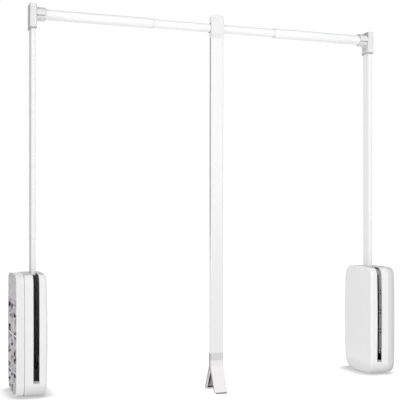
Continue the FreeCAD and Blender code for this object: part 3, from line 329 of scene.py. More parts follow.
def domed(tree, geometry, radius, height, crown):
    """Draws the top of a bar down towards its rim, by a share of its height."""
    x, y, z = axes(tree, tree.nodes.new("GeometryNodeInputPosition").outputs["Position"])
    flat = tree.nodes.new("ShaderNodeCombineXYZ")
    tree.links.new(x, flat.inputs["X"])
    tree.links.new(y, flat.inputs["Y"])
    length = add(tree, "ShaderNodeVectorMath", {"operation": "LENGTH"})
    tree.links.new(flat.outputs["Vector"], length.inputs[0])
    share = formula(tree, "DIVIDE", length.outputs["Value"], radius)
    rise = formula(tree, "MULTIPLY", height, crown)
    drop = formula(tree, "MULTIPLY", formula(tree, "POWER", share, DOME_POWER), rise)
    top = formula(tree, "GREATER_THAN", z, formula(tree, "MULTIPLY", height, TOP_SHARE))
    down = formula(tree, "MULTIPLY", formula(tree, "MULTIPLY", drop, top), -1.0)
    offset = tree.nodes.new("ShaderNodeCombineXYZ")
    tree.links.new(down, offset.inputs["Z"])
    placed = tree.nodes.new("GeometryNodeSetPosition")
    tree.links.new(geometry, placed.inputs["Geometry"])
    tree.links.new(offset.outputs["Vector"], placed.inputs["Offset"])
    return placed.outputs["Geometry"]


def stand_on_points(tree, entry, geometry):
    """Repeats a shape on every point of the piece, turned to its axis, and gives it its finish."""
    repeat = tree.nodes.new("GeometryNodeInstanceOnPoints")
    turn = tree.nodes.new("FunctionNodeEulerToRotation")
    real = tree.nodes.new("GeometryNodeRealizeInstances")
    finish = tree.nodes.new("GeometryNodeSetMaterial")
    leave = tree.nodes.new("NodeGroupOutput")
    tree.links.new(entry.outputs["Geometry"], repeat.inputs["Points"])
    tree.links.new(geometry, repeat.inputs["Instance"])
    tree.links.new(entry.outputs["Turn"], turn.inputs["Euler"])
    tree.links.new(turn.outputs["Rotation"], repeat.inputs["Rotation"])
    tree.links.new(repeat.outputs["Instances"], real.inputs["Geometry"])
    tree.links.new(real.outputs["Geometry"], finish.inputs["Geometry"])
    tree.links.new(entry.outputs["Finish"], finish.inputs["Material"])
    tree.links.new(finish.outputs["Geometry"], leave.inputs["Geometry"])


# The recess's arms, as shares of the head's radius and height.
CROSS_LENGTH = 1.15
CROSS_WIDTH = 0.24
CROSS_DEPTH = 1.3
SCREW_CROWN = 0.45


def cross_screw_tree():
    """Pan head screw on the ground plane, its shank below: a domed head, less a cross recess."""
    tree, entry = new_tree("cross_screw", ("Head radius", "Head height", "Shank radius", "Shank length"))
    sizes = entry.outputs
    head = round_bar(tree, sizes["Head radius"], sizes["Head height"], sides=48, rings=3, fill=6)
    head = domed(tree, head, sizes["Head radius"], sizes["Head height"], SCREW_CROWN)
    arm_long = formula(tree, "MULTIPLY", sizes["Head radius"], CROSS_LENGTH)
    arm_wide = formula(tree, "MULTIPLY", sizes["Head radius"], CROSS_WIDTH)
    deep = formula(tree, "MULTIPLY", sizes["Head height"], CROSS_DEPTH)
    recess = tree.nodes.new("GeometryNodeMeshBoolean")
    recess.operation = "DIFFERENCE"
    recess.solver = "EXACT"
    tree.links.new(head, recess.inputs["Mesh 1"])
    for across, along in ((arm_long, arm_wide), (arm_wide, arm_long)):
        block = tree.nodes.new("GeometryNodeMeshCube")
        extent = tree.nodes.new("ShaderNodeCombineXYZ")
        tree.links.new(across, extent.inputs["X"])
        tree.links.new(along, extent.inputs["Y"])
        tree.links.new(deep, extent.inputs["Z"])
        tree.links.new(extent.outputs["Vector"], block.inputs["Size"])
        raised = shifted(tree, block.outputs["Mesh"], z=sizes["Head height"])
        tree.links.new(raised, recess.inputs["Mesh 2"])
    shank = round_bar(tree, sizes["Shank radius"], sizes["Shank length"], sides=24)
    shank = shifted(tree, shank, z=formula(tree, "MULTIPLY", sizes["Shank length"], -1.0))
    whole = tree.nodes.new("GeometryNodeJoinGeometry")
    tree.links.new(shank, whole.inputs["Geometry"])
    tree.links.new(recess.outputs["Mesh"], whole.inputs["Geometry"])
    stand_on_points(tree, entry, whole.outputs["Geometry"])
    return tree


def grown_piece(name, tree, points, values, smooth_angle=35.0):
    """A plain mesh from a geometry tree that stands on the given points."""
    seed = bpy.data.meshes.new(name + "_points")
    seed.from_pydata(points, [], [])
    holder = bpy.data.objects.new(name + "_points", seed)
    bpy.context.scene.collection.objects.link(holder)
    grow = holder.modifiers.new("grow", "NODES")
    grow.node_group = tree
    for item in tree.interface.items_tree:
        if item.item_type == "SOCKET" and item.in_out == "INPUT" and item.name in values:
            grow[item.identifier] = values[item.name]
    settled = bpy.context.evaluated_depsgraph_get()
    mesh = bpy.data.meshes.new_from_object(holder.evaluated_get(settled))
    mesh.name = name
    bpy.data.objects.remove(holder)
    for face in mesh.polygons:
        face.use_smooth = True
    mesh.set_sharp_from_angle(angle=math.radians(smooth_angle))
    piece = bpy.data.objects.new(name, mesh)
    bpy.context.scene.collection.objects.link(piece)
    return piece


def fit(piece, body, node):
    """The piece moves with its body and stands for a node of the frame."""
    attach(piece, body)
    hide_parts(node)


cross_screw = cross_screw_tree()
PLATE_HEAD_RADIUS = 0.004
PLATE_HEAD_HEIGHT = 0.002
PLATE_SHANK_RADIUS = 0.002
PLATE_SHANK_LENGTH = 0.0095
for side, outward in (("left", 1), ("right", -1)):
    low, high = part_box(f"{side}_plate_screws")
    bearing = high.x - PLATE_HEAD_HEIGHT if outward > 0 else low.x + PLATE_HEAD_HEIGHT
    spots = []
    for y in (low.y + PLATE_HEAD_RADIUS, high.y - PLATE_HEAD_RADIUS):
        for z in (low.z + PLATE_HEAD_RADIUS, high.z - PLATE_HEAD_RADIUS):
            spots.append((bearing, y, z))
    screws = grown_piece(f"{side}_plate_cross_screws", cross_screw, spots, {
        "Head radius": PLATE_HEAD_RADIUS,
        "Head height": PLATE_HEAD_HEIGHT,
        "Shank radius": PLATE_SHANK_RADIUS,
        "Shank length": PLATE_SHANK_LENGTH,
        "Turn": (0.0, outward * math.pi / 2, 0.0),
        "Finish": zinc_steel,
    })
    fit(screws, f"{side}_housing", f"{side}_plate_screws")


# --- pivot shafts ---
# A turned steel shaft is riveted into each plate, and two retaining rings keep the arm on it.
# The strut's upper end hangs on a short shouldered stud in the same plate.
dress(zinc_steel, *both("pivot_shaft"), *both("shaft_clips"), *both("strut_anchor"))


# --- swinging arms ---
# Each arm is a flat steel tube with rounded edges, powder coated white over a light orange peel.
# Two riveted cheek plates carry the acetal bushes, and one of them the crank pin of the strut.
def coated(name, first, second, roughness, peel, depth, edge=0.0005, coat=0.25):
    """Powder coat: soft orange peel, sparse fine specks in the gloss, slow change of tone."""
    material, tree, shader = new_material(name)
    place = own_place(tree)
    clouds = noise(tree, place, size=0.12, detail=2.0)
    tree.links.new(tones(tree, clouds, first, second), shader.inputs["Base Color"])
    specks = noise(tree, place, size=0.004, detail=5.0, distortion=0.3)
    tree.links.new(spread(tree, specks, roughness - 0.03, roughness + 0.05), shader.inputs["Roughness"])
    orange = noise(tree, place, size=peel, detail=1.0)
    normal = relief(tree, orange, soft_edges(tree, edge), strength=0.3, depth=depth)
    tree.links.new(normal, shader.inputs["Normal"])
    tree.links.new(normal, shader.inputs["Coat Normal"])
    shader.inputs["Coat Weight"].default_value = coat
    shader.inputs["Coat Roughness"].default_value = 0.12
    return material


def shaded_foot(material, level, first, second):
    """Painted shade: below this level, inside the housing's slot, the tube is nearly black."""
    tree, place = reopened(material)
    below = formula(tree, "LESS_THAN", axes(tree, place)[2], level)
    dark_noise = noise(tree, place, size=0.008, detail=4.0, distortion=0.5)
    lay_over(tree, below, tones(tree, dark_noise, first, second))


# How far a face looks along X when its painted shade starts, and when it is full.
SIDE_STARTS = 0.45
SIDE_FULL = 0.95
SOFT_STEP = {"interpolation_type": "SMOOTHSTEP"}


def shaded_sides(material, first, second, outer_only=True, fade=None):
    """Painted shade on sides, all or only the outer ones; a fade gives the heights between which it sets in.
    """
    tree, place = reopened(material)
    across = facing(tree)[0]
    if outer_only:
        from_centre = formula(tree, "SUBTRACT", axes(tree, place)[0], (cad_box[0].x + cad_box[1].x) / 2)
        across = formula(tree, "MULTIPLY", across, formula(tree, "SIGN", from_centre))
    else:
        across = formula(tree, "ABSOLUTE", across)
    side = add(tree, "ShaderNodeMapRange", SOFT_STEP, From_Min=SIDE_STARTS, From_Max=SIDE_FULL)
    tree.links.new(across, side.inputs["Value"])
    mask = side.outputs["Result"]
    if fade:
        height = add(tree, "ShaderNodeMapRange", SOFT_STEP, From_Min=fade[0], From_Max=fade[1])
        tree.links.new(axes(tree, place)[2], height.inputs["Value"])
        mask = formula(tree, "MULTIPLY", mask, height.outputs["Result"])
    lay_over(tree, mask, tones(tree, noise(tree, place, size=0.03, detail=3.0), first, second))


# Below this depth under the cover's top the arms are painted nearly black, as the shade inside the slot.
SHADE_BELOW_COVER_TOP = 0.006
arm_paint = coated(
    "arm_paint", (0.84, 0.84, 0.845), (0.87, 0.87, 0.87),
    roughness=0.42, peel=0.0021, depth=0.00005, coat=0.1,
)
# Painted shade on the arms' outer sides.
shaded_sides(arm_paint, (0.44, 0.44, 0.45), (0.54, 0.54, 0.55))
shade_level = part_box("left_cover")[1].z - SHADE_BELOW_COVER_TOP
shaded_foot(arm_paint, shade_level, (0.030, 0.030, 0.032), (0.055, 0.054, 0.055))
bearing_plastic = moulded(
    "bearing_plastic", (0.74, 0.74, 0.73), (0.79, 0.79, 0.78),
    roughness=0.34, grain=0.0012, depth=0.00002, edge=0.0003,
)
dress(arm_paint, *both("arm_tube"))
dress(zinc_steel, *both("crank_cheek"), *both("plain_cheek"), *both("crank_pin"))
dress(bearing_plastic, *both("arm_bushes"))


RIVET_CROWN = 0.6


def rivet_tree():
    """Rivet with a domed head at each end, centred on the ground plane."""
    tree, entry = new_tree("domed_rivet", ("Head radius", "Head height", "Shank radius", "Shank length"))
    sizes = entry.outputs
    whole = tree.nodes.new("GeometryNodeJoinGeometry")
    shank = round_bar(tree, sizes["Shank radius"], sizes["Shank length"], sides=32)
    half = formula(tree, "MULTIPLY", sizes["Shank length"], 0.5)
    low = formula(tree, "MULTIPLY", half, -1.0)
    tree.links.new(shifted(tree, shank, z=low), whole.inputs["Geometry"])
    head = round_bar(tree, sizes["Head radius"], sizes["Head height"], sides=40, rings=3, fill=6)
    head = shifted(tree, domed(tree, head, sizes["Head radius"], sizes["Head height"], RIVET_CROWN), z=half)
    tree.links.new(head, whole.inputs["Geometry"])
    other = tree.nodes.new("GeometryNodeTransform")
    tree.links.new(head, other.inputs["Geometry"])
    other.inputs["Rotation"].default_value = (math.pi, 0.0, 0.0)
    tree.links.new(other.outputs["Geometry"], whole.inputs["Geometry"])
    stand_on_points(tree, entry, whole.outputs["Geometry"])
    return tree


domed_rivet = rivet_tree()
RIVET_HEAD_RADIUS = 0.0042
RIVET_HEAD_HEIGHT = 0.0014
RIVET_SHANK_RADIUS = 0.0025
for side in SIDES:
    low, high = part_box(f"{side}_arm_rivets")
    middle = (low + high) / 2
    spots = [
        (middle.x, middle.y, low.z + RIVET_HEAD_RADIUS),
        (middle.x, middle.y, high.z - RIVET_HEAD_RADIUS),
    ]
    rivets = grown_piece(f"{side}_domed_rivets", domed_rivet, spots, {
        "Head radius": RIVET_HEAD_RADIUS,
        "Head height": RIVET_HEAD_HEIGHT,
        "Shank radius": RIVET_SHANK_RADIUS,
        "Shank length": high.x - low.x - 2 * RIVET_HEAD_HEIGHT,
        "Turn": (0.0, math.pi / 2, 0.0),
        "Finish": zinc_steel,
    })
    fit(rivets, f"{side}_arm", f"{side}_arm_rivets")


# --- spring struts ---
# A closed steel tube, painted black, with a welded eye at its top and a ground rod that slides in it.
# The rod is hard chromed and ends in a second eye on the crank pin.
strut_steel = plated(
    "strut_steel", (0.035, 0.035, 0.038), (0.05, 0.05, 0.052),
    roughness=0.42, brush=(1, 1, 0.2), metallic=0.0,
)
rod_chrome = plated(
    "rod_chrome", (0.74, 0.75, 0.76), (0.80, 0.80, 0.80),
    roughness=0.13, brush=(1, 1, 0.05),
)
dress(strut_steel, *both("strut_tube"), *both("strut_top_eye"), *both("rod_eye"))
dress(rod_chrome, *both("strut_rod"))


# --- slot guards and buffers ---
# Behind each slot a ribbed guard of pale grey polypropylene keeps clothes off the mechanism.
# Soft rubber buffers stop the arm at both ends of its slot.
guard_plastic = moulded(
    "guard_plastic", (0.82, 0.81, 0.82), (0.86, 0.85, 0.86),
    roughness=0.48, grain=0.0008, depth=0.00006, edge=0.0003,
)
buffer_rubber = moulded(
    "buffer_rubber", (0.40, 0.40, 0.41), (0.47, 0.47, 0.47),
    roughness=0.72, grain=0.0005, depth=0.00008, edge=0.0006,
)
dress(guard_plastic, *both("slot_guard"))
dress(buffer_rubber, *both("slot_buffers"))


# --- covers ---
# A pillow shaped cover snaps over each base shell and leaves a shadow groove at the seam.
# It is satin white ABS with a fine spark eroded grain, crowned over its face and round all along its edge.
cover_plastic = moulded(
    "cover_plastic", (0.83, 0.83, 0.835), (0.865, 0.865, 0.865),
    roughness=0.38, grain=0.0009, depth=0.00004,
)
# How far a face looks upwards when its painted shade is full.
SHADE_FULL = 0.98


def shaded_facing(material, first, second, start=0.35, axis=2):
    """Painted shade: what looks upwards, or to the rear with axis 1, is a little greyer."""
    tree, place = reopened(material)
    turned = add(tree, "ShaderNodeMapRange", SOFT_STEP, From_Min=start, From_Max=SHADE_FULL)
    tree.links.new(facing(tree)[axis], turned.inputs["Value"])
    grey = tones(tree, noise(tree, place, size=0.02, detail=3.0), first, second)
    lay_over(tree, turned.outputs["Result"], grey)


# Each cover is greyer with painted shade at its foot, up to this height.
FOOT_HEIGHT = 0.032
cover_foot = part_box("left_cover")[0].z
shade_towards(cover_plastic, 2, cover_foot, FOOT_HEIGHT, (0.63, 0.625, 0.635), (0.69, 0.68, 0.69))
# Painted shade on the covers' tops, and on what looks to the rear.
shaded_facing(cover_plastic, (0.46, 0.455, 0.47), (0.56, 0.55, 0.57), start=0.80)
shaded_facing(cover_plastic, (0.56, 0.56, 0.56), (0.64, 0.64, 0.64), start=0.10, axis=1)
dress(cover_plastic, *both("cover"))


# --- rail connectors ---
# A white nylon elbow is pushed over the top of each arm, and its split socket grips the rail's tube.
# One cross recess screw through its inner face holds it on the arm.
# The height of the painted shadow line at the foot, and the heights between which the painted shade at the
# sockets sets in.
LIP_HEIGHT = 0.0029
SOCKET_SHADE = (0.697, 0.708)


def shadow_lip(material, level, first, second):
    """A painted shadow line round the lowest edge, below one height."""
    tree, place = reopened(material)
    lip = formula(tree, "LESS_THAN", axes(tree, place)[2], level)
    lay_over(tree, lip, tones(tree, noise(tree, place, size=0.004, detail=3.0), first, second))


connector_plastic = moulded(
    "connector_plastic", (0.74, 0.74, 0.745), (0.79, 0.79, 0.79),
    roughness=0.36, grain=0.0010, depth=0.00003,
)
# Painted shade on the connectors: on all sides, darker at the sockets and on the outer sides, and on their
# tops.
shaded_sides(connector_plastic, (0.65, 0.65, 0.655), (0.71, 0.71, 0.71), outer_only=False)
shaded_sides(connector_plastic, (0.36, 0.36, 0.365), (0.42, 0.42, 0.42), outer_only=False, fade=SOCKET_SHADE)
shaded_sides(connector_plastic, (0.27, 0.27, 0.28), (0.34, 0.34, 0.35))
shaded_facing(connector_plastic, (0.36, 0.36, 0.365), (0.44, 0.44, 0.44))
lip_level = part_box("left_rail_connector")[0].z + LIP_HEIGHT
shadow_lip(connector_plastic, lip_level, (0.32, 0.32, 0.32), (0.42, 0.42, 0.42))
dress(connector_plastic, *both("rail_connector"))
screw_steel = plated("screw_steel", (0.60, 0.60, 0.61), (0.70, 0.70, 0.70), roughness=0.27)
CONNECTOR_HEAD_RADIUS = 0.0044
CONNECTOR_HEAD_HEIGHT = 0.0022
CONNECTOR_SHANK_RADIUS = 0.0025
for side, outward in (("left", 1), ("right", -1)):
    low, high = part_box(f"{side}_connector_screw")
    middle = (low + high) / 2
    bearing = high.x - CONNECTOR_HEAD_HEIGHT if outward > 0 else low.x + CONNECTOR_HEAD_HEIGHT
    screw = grown_piece(f"{side}_connector_cross_screw", cross_screw, [(bearing, middle.y, middle.z)], {
        "Head radius": CONNECTOR_HEAD_RADIUS,
        "Head height": CONNECTOR_HEAD_HEIGHT,
        "Shank radius": CONNECTOR_SHANK_RADIUS,
        "Shank length": high.x - low.x - CONNECTOR_HEAD_HEIGHT,
        "Turn": (0.0, outward * math.pi / 2, 0.0),
        "Finish": screw_steel,
    })
    fit(screw, f"{side}_arm", f"{side}_connector_screw")


# --- hanging rail ---
# The rail is three round steel tubes, painted gloss white: one from each connector, and a thinner one
# that slides in both on acetal sleeves. The tubes are cut square and their mouths are broken round.
rail_paint = coated(
    "rail_paint", (0.87, 0.87, 0.875), (0.90, 0.90, 0.90),
    roughness=0.24, peel=0.0026, depth=0.00003, edge=0.0004, coat=0.4,
)
# Painted shade along the top of the rail.
shaded_facing(rail_paint, (0.62, 0.62, 0.625), (0.70, 0.70, 0.70))
dress(bearing_plastic, *both("glide_sleeve"))


def tube_tree():
    """Tube centred on its point: its wall's section, rounded at both mouths, swept round the axis."""
    tree, entry = new_tree("rail_tube", ("Outer radius", "Wall", "Length", "Mouth radius"))
    sizes = entry.outputs
    section = add(tree, "GeometryNodeCurvePrimitiveQuadrilateral")
    tree.links.new(sizes["Wall"], section.inputs["Width"])
    tree.links.new(sizes["Length"], section.inputs["Height"])
    mouth = add(tree, "GeometryNodeFilletCurve", {"mode": "POLY"}, Count=3)
    tree.links.new(section.outputs["Curve"], mouth.inputs["Curve"])
    tree.links.new(sizes["Mouth radius"], mouth.inputs["Radius"])
    ring = add(tree, "GeometryNodeCurvePrimitiveCircle", None, Resolution=96)
    middle = formula(tree, "SUBTRACT", sizes["Outer radius"], formula(tree, "MULTIPLY", sizes["Wall"], 0.5))
    tree.links.new(middle, ring.inputs["Radius"])
    swept = tree.nodes.new("GeometryNodeCurveToMesh")
    tree.links.new(ring.outputs["Curve"], swept.inputs["Curve"])
    tree.links.new(mouth.outputs["Curve"], swept.inputs["Profile Curve"])
    stand_on_points(tree, entry, swept.outputs["Mesh"])
    return tree


rail_tube = tube_tree()
# A mouth's rounding, as a share of its wall.
MOUTH_SHARE = 0.45
# Node, body and wall.
RAIL_TUBES = (
    ("left_rail_tube", "left_arm", 0.0010),
    ("right_rail_tube", "right_arm", 0.0010),
    ("middle_rail_tube", "rail_middle", 0.0012),
)
for node, body, wall in RAIL_TUBES:
    low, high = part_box(node)
    piece = grown_piece(node + "_drawn", rail_tube, [(low + high) / 2], {
        "Outer radius": (high.z - low.z) / 2,
        "Wall": wall,
        "Length": high.x - low.x,
        "Mouth radius": wall * MOUTH_SHARE,
        "Turn": (0.0, math.pi / 2, 0.0),
        "Finish": rail_paint,
    }, smooth_angle=50.0)
    fit(piece, body, node)


# --- pull handle ---
# The head clasps a flanged bush on the rail and hangs there by its own weight; a cap closes it behind.
# Below it a flat steel tube runs down to a grey collar and a forked grip, pushed in on a spigot.
handle_plastic = moulded(
    "handle_plastic", (0.755, 0.755, 0.76), (0.79, 0.79, 0.79),
    roughness=0.36, grain=0.0009, depth=0.00003,
)
handle_paint = coated(
    "handle_paint", (0.785, 0.785, 0.79), (0.82, 0.82, 0.82),
    roughness=0.30, peel=0.0021, depth=0.00004,
)
collar_plastic = moulded(
    "collar_plastic", (0.69, 0.69, 0.70), (0.74, 0.74, 0.745),
    roughness=0.45, grain=0.0006, depth=0.00005,
)
grip_plastic = moulded(
    "grip_plastic", (0.82, 0.805, 0.81), (0.85, 0.835, 0.84),
    roughness=0.40, grain=0.0008, depth=0.00004,
)
# The bush is dark grey: painted shade where the rail passes through the head.
bush_plastic = moulded(
    "bush_plastic", (0.24, 0.24, 0.245), (0.31, 0.31, 0.31),
    roughness=0.36, grain=0.0010, depth=0.00003,
)
# The grip's leaves, the heights of their darker foot and heel, and the painted dark mouth in the hollow of
# each inner face.
LEAF_THICKNESS = 0.0055
FORK_HEIGHT = 0.0553
FOOT_DARK_HEIGHT = 0.0030
HEEL_SHADE_HEIGHT = 0.0078
HOLLOW_STARTS = 0.0018
FACES_INWARD = -0.3
MOUTH_MIDDLE = 0.0250
MOUTH_HALF_HEIGHT = 0.0150
MOUTH_HALF_WIDTH = 0.0034
MOUTH_FROM_MIDDLE = 0.0095
MOUTH_FADES = (1.5, 0.6)


def shaded_fork(material, foot_tones, shade_lining, mouth):
    """A darker foot on the front leaf, and painted shade in each inner face's hollow: a grey lining with a
    dark mouth.
    """
    tree, place = reopened(material)
    low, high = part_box("handle_grip")
    x, y, z = axes(tree, place)
    along = facing(tree)[1]
    from_middle = formula(tree, "SUBTRACT", y, (low.y + high.y) / 2)
    slant = ((high.y - low.y) / 2 - LEAF_THICKNESS) / FORK_HEIGHT
    inner_face = formula(tree, "MULTIPLY", formula(tree, "SUBTRACT", low.z + FORK_HEIGHT, z), slant)
    depth = formula(tree, "SUBTRACT", formula(tree, "ABSOLUTE", from_middle), inner_face)
    outward = formula(tree, "MULTIPLY", formula(tree, "SIGN", from_middle), along)
    inward = formula(tree, "LESS_THAN", outward, FACES_INWARD)
    sunk = formula(tree, "MULTIPLY", formula(tree, "GREATER_THAN", depth, HOLLOW_STARTS), inward)
    at_foot = formula(tree, "LESS_THAN", z, low.z + FOOT_DARK_HEIGHT)
    foot = formula(tree, "MULTIPLY", at_foot, formula(tree, "LESS_THAN", from_middle, 0.0))
    lay_over(tree, foot, tones(tree, noise(tree, place, size=0.004, detail=3.0), *foot_tones))
    aside = formula(tree, "ABSOLUTE", formula(tree, "SUBTRACT", x, (low.x + high.x) / 2))
    sideways = formula(tree, "SUBTRACT", aside, MOUTH_FROM_MIDDLE)
    upwards = formula(tree, "SUBTRACT", z, low.z + MOUTH_MIDDLE)
    across = formula(tree, "POWER", formula(tree, "DIVIDE", sideways, MOUTH_HALF_WIDTH), 2.0)
    above = formula(tree, "POWER", formula(tree, "DIVIDE", upwards, MOUTH_HALF_HEIGHT), 2.0)
    oval = add(tree, "ShaderNodeMapRange", SOFT_STEP, From_Min=MOUTH_FADES[0], From_Max=MOUTH_FADES[1])
    tree.links.new(formula(tree, "ADD", across, above), oval.inputs["Value"])
    heel = formula(tree, "LESS_THAN", z, low.z + HEEL_SHADE_HEIGHT)
    opening = formula(tree, "MAXIMUM", oval.outputs["Result"], heel)
    grey = tones(tree, noise(tree, place, size=0.006, detail=3.0), *shade_lining)
    dark = tones(tree, noise(tree, place, size=0.003, detail=3.0), *mouth)
    lay_over(tree, sunk, blend(tree, opening, grey, dark))


# Painted shade lines the hollows of the grip's inner faces and darkens their mouths.
shaded_fork(
    grip_plastic,
    foot_tones=((0.13, 0.13, 0.13), (0.22, 0.21, 0.22)),
    shade_lining=((0.29, 0.275, 0.30), (0.38, 0.36, 0.39)),
    mouth=((0.020, 0.020, 0.024), (0.045, 0.042, 0.048)),
)


def painted_ribs(material, pitch, furrow_tones):
    """Fine upright ribs in paint only: painted shade in the furrows between them, streaked from top to
    bottom.
    """
    tree, place = reopened(material)
    x = axes(tree, place)[0]
    wave = formula(tree, "SINE", formula(tree, "MULTIPLY", x, 2 * math.pi / pitch))
    furrow_shade = formula(tree, "MULTIPLY", formula(tree, "ADD", wave, 1.0), 0.5)
    lay_over(tree, furrow_shade, tones(tree, noise(tree, x, size=0.002, detail=3.0), *furrow_tones))


# The pitch of the collar's painted ribs.
RIB_PITCH = 0.0045
painted_ribs(collar_plastic, RIB_PITCH, ((0.58, 0.58, 0.59), (0.63, 0.63, 0.64)))
# Painted shade on the sides of the collar, the grip and the bar.
shaded_sides(collar_plastic, (0.30, 0.30, 0.30), (0.38, 0.38, 0.38), outer_only=False)
shaded_sides(grip_plastic, (0.30, 0.29, 0.30), (0.38, 0.37, 0.38), outer_only=False)
# Painted shade greys the sides of the bar between these heights.
BAR_SIDE_FADE = (0.083, 0.295)
shaded_sides(handle_paint, (0.30, 0.30, 0.30), (0.38, 0.38, 0.38), outer_only=False, fade=BAR_SIDE_FADE)
dress(bush_plastic, "rail_bush")
dress(screw_steel, "bush_grub_screw")
dress(handle_plastic, "handle_head", "handle_head_cap")
dress(handle_paint, "handle_bar")
dress(collar_plastic, "grip_collar")
dress(grip_plastic, "handle_grip")
# The handle hangs at this angle to the plumb line, and its screws with it.
HANDLE_TILT = math.radians(0.2)
# Node, head radius and height, shank radius and length, and how many screws.
HANDLE_SCREWS = (
    ("head_cap_screws", 0.0028, 0.0016, 0.0015, 0.012, 2),
    ("grip_screw", 0.0036, 0.0015, 0.0020, 0.005, 1),
)
for node, head_radius, head_height, shank_radius, shank_length, count in HANDLE_SCREWS:
    low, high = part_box(node)
    middle = (low.x + high.x) / 2
    bearing = high.y - head_height
    top = head_radius * math.cos(HANDLE_TILT)
    lean = (high.z - low.z - 2 * top) * math.tan(HANDLE_TILT)
    spots = [(middle, bearing, low.z + top), (middle, bearing - lean, high.z - top)][:count]
    screws = grown_piece(node + "_cross", cross_screw, spots, {
        "Head radius": head_radius,
        "Head height": head_height,
        "Shank radius": shank_radius,
        "Shank length": shank_length,
        "Turn": (-math.pi / 2 + HANDLE_TILT, 0.0, 0.0),
        "Finish": screw_steel,
    })
    fit(screws, "pull_handle", node)


# --- floor ---
# A plain pale floor in two levels, like a low stage: a step stands just under each housing, and between and
# in front of the steps the floor lies lower, so that the handle hangs free and the arms can come down.
STEP_GAP = 0.0003
STEP_LEVEL = cover_foot - STEP_GAP
LOW_LEVEL = -0.40
FLOOR_LEVELS = (
    ("left_step", (-0.55, 0.20), (-0.16, 0.55), STEP_LEVEL),
    ("right_step", (0.70, 1.50), (-0.16, 0.55), STEP_LEVEL),
    ("low_floor", (-30.0, 30.0), (-30.0, 30.0), LOW_LEVEL),
)
# The paint that lights the object, the paint that is seen, and the glow that lifts what is seen to white.
# Close to a housing the glow falls to its lowest share, which makes the shadow. The lean is the direction in
# which the floor feels for a housing, so that the shadow lies more behind it than in front.
FLOOR_PAINT = 0.9
FLOOR_SEEN = 0.30
FLOOR_LIFT = 0.85
SHADOW_REACH = 0.035
SHADOW_POWER = 1.5
LOWEST_LIFT = 0.50
SHADOW_LEAN = (0.15, -0.50, 0.85)


def seen_directly(tree):
    """1 for what is seen of a backdrop, also in a gloss or through glass, and 0 for the light it gives."""
    ray = tree.nodes.new("ShaderNodeLightPath")
    white = formula(tree, "MAXIMUM", ray.outputs["Is Camera Ray"], ray.outputs["Is Glossy Ray"])
    return formula(tree, "MAXIMUM", white, ray.outputs["Is Transmission Ray"])


def pale_floor():
    """Matt white; seen directly it is lifted to the white of the room, less so close under the housings."""
    material, tree, shader = new_material("pale_floor")
    seen = seen_directly(tree)
    mixed = add(tree, "ShaderNodeMix", {"data_type": "RGBA"})
    mixed.inputs["A"].default_value = (FLOOR_PAINT, FLOOR_PAINT, FLOOR_PAINT, 1)
    mixed.inputs["B"].default_value = (FLOOR_SEEN, FLOOR_SEEN, FLOOR_SEEN, 1)
    tree.links.new(seen, mixed.inputs["Factor"])
    tree.links.new(mixed.outputs["Result"], shader.inputs["Base Color"])
    shader.inputs["Roughness"].default_value = 0.9
    shader.inputs["Specular IOR Level"].default_value = 0.0
    shader.inputs["Emission Color"].default_value = (1, 1, 1, 1)
    near = add(tree, "ShaderNodeAmbientOcclusion", {"samples": 16}, Distance=SHADOW_REACH)
    lean = tree.nodes.new("ShaderNodeCombineXYZ")
    for axis, value in zip("XYZ", SHADOW_LEAN):
        lean.inputs[axis].default_value = value
    tree.links.new(lean.outputs["Vector"], near.inputs["Normal"])
    open_sky = formula(tree, "POWER", near.outputs["AO"], SHADOW_POWER)
    open_sky = formula(tree, "MAXIMUM", open_sky, LOWEST_LIFT)
    lift = formula(tree, "MULTIPLY", open_sky, FLOOR_LIFT)
    tree.links.new(formula(tree, "MULTIPLY", seen, lift), shader.inputs["Emission Strength"])
    return material


floor_paint = pale_floor()
for name, (x0, x1), (y0, y1), level in FLOOR_LEVELS:
    sheet = bpy.data.meshes.new(name)
    corners = [(x0, y0, level), (x1, y0, level), (x1, y1, level), (x0, y1, level)]
    sheet.from_pydata(corners, [], [(0, 1, 2, 3)])
    sheet.materials.append(floor_paint)
    floor = bpy.data.objects.new(name, sheet)
    bpy.context.scene.collection.objects.link(floor)
    floor.visible_shadow = False


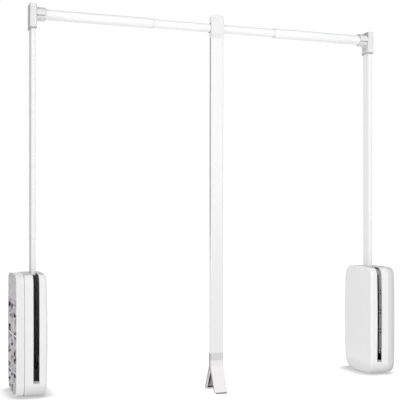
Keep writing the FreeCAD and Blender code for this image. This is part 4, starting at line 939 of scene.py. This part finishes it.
# --- light ---
# An even pale room, brightest low at the front left and dimmer behind the lift.
# A large soft lamp stands high in front, near enough to light the rail more than the housings.
# A weak, narrow lamp stands low in front and shines up at the rail.
ROOM_BRIGHT = 1.17
ROOM_DIM = 0.36
ROOM_AXIS = (-0.72, -0.63, -0.28)
ROOM_STARTS = -0.6
ROOM_FULL = 0.5
world = bpy.data.worlds.new("studio")
bpy.context.scene.world = world
world.use_nodes = True
sky = world.node_tree
room = sky.nodes["Background"]
room.inputs["Color"].default_value = (1, 1, 1, 1)
along = add(sky, "ShaderNodeVectorMath", {"operation": "DOT_PRODUCT"})
along.inputs[1].default_value = ROOM_AXIS
sky.links.new(sky.nodes.new("ShaderNodeTexCoord").outputs["Generated"], along.inputs[0])
depth = add(sky, "ShaderNodeMapRange", SOFT_STEP, From_Min=ROOM_STARTS, From_Max=ROOM_FULL)
depth.inputs["To Min"].default_value = ROOM_DIM
depth.inputs["To Max"].default_value = ROOM_BRIGHT
sky.links.new(along.outputs["Value"], depth.inputs["Value"])
sky.links.new(depth.outputs["Result"], room.inputs["Strength"])
backdrop = add(sky, "ShaderNodeBackground", None, Strength=1.0)
backdrop.inputs["Color"].default_value = (1, 1, 1, 1)
choice = sky.nodes.new("ShaderNodeMixShader")
sky.links.new(seen_directly(sky), choice.inputs[0])
sky.links.new(room.outputs[0], choice.inputs[1])
sky.links.new(backdrop.outputs[0], choice.inputs[2])
sky.links.new(choice.outputs[0], sky.nodes["World Output"].inputs["Surface"])
# Name, place, aim, size, watts and spread angle.
LAMPS = (
    ("key", (0.55, -1.4, 0.8), (0.45, 0.0, 0.35), 1.2, 4.9, 180.0),
    ("rail_fill", (0.50, -1.0, -0.35), (0.46, 0.0, 0.70), 0.6, 0.40, 60.0),
)
for name, place, aim, size, power, spread_angle in LAMPS:
    lamp = bpy.data.lights.new(name, "AREA")
    lamp.size = size
    lamp.energy = power
    lamp.spread = math.radians(spread_angle)
    holder = bpy.data.objects.new(name, lamp)
    holder.location = place
    holder.visible_camera = False
    away = holder.location - Vector(aim)
    holder.rotation_euler = away.to_track_quat("Z", "Y").to_euler()
    bpy.context.scene.collection.objects.link(holder)


# --- camera ---
# The camera stands to the left of the lift and is turned a little to the right, across its front.
# It is level, and its lens is shifted up instead of tilted, so that uprights stay upright.
LENS = 77.63
SENSOR = 36.0
SHIFT_UP = 0.05675
CAMERA_PLACE = (-0.25325, -1.9152, 0.2417)
CAMERA_TURN = -0.346
lens = bpy.data.cameras.new("camera")
lens.lens = LENS
lens.sensor_width = SENSOR
lens.shift_y = SHIFT_UP
camera = bpy.data.objects.new("camera", lens)
camera.location = CAMERA_PLACE
camera.rotation_euler = (math.pi / 2, 0.0, CAMERA_TURN)
bpy.context.scene.collection.objects.link(camera)
bpy.context.scene.camera = camera
bpy.context.scene.view_settings.view_transform = "Standard"
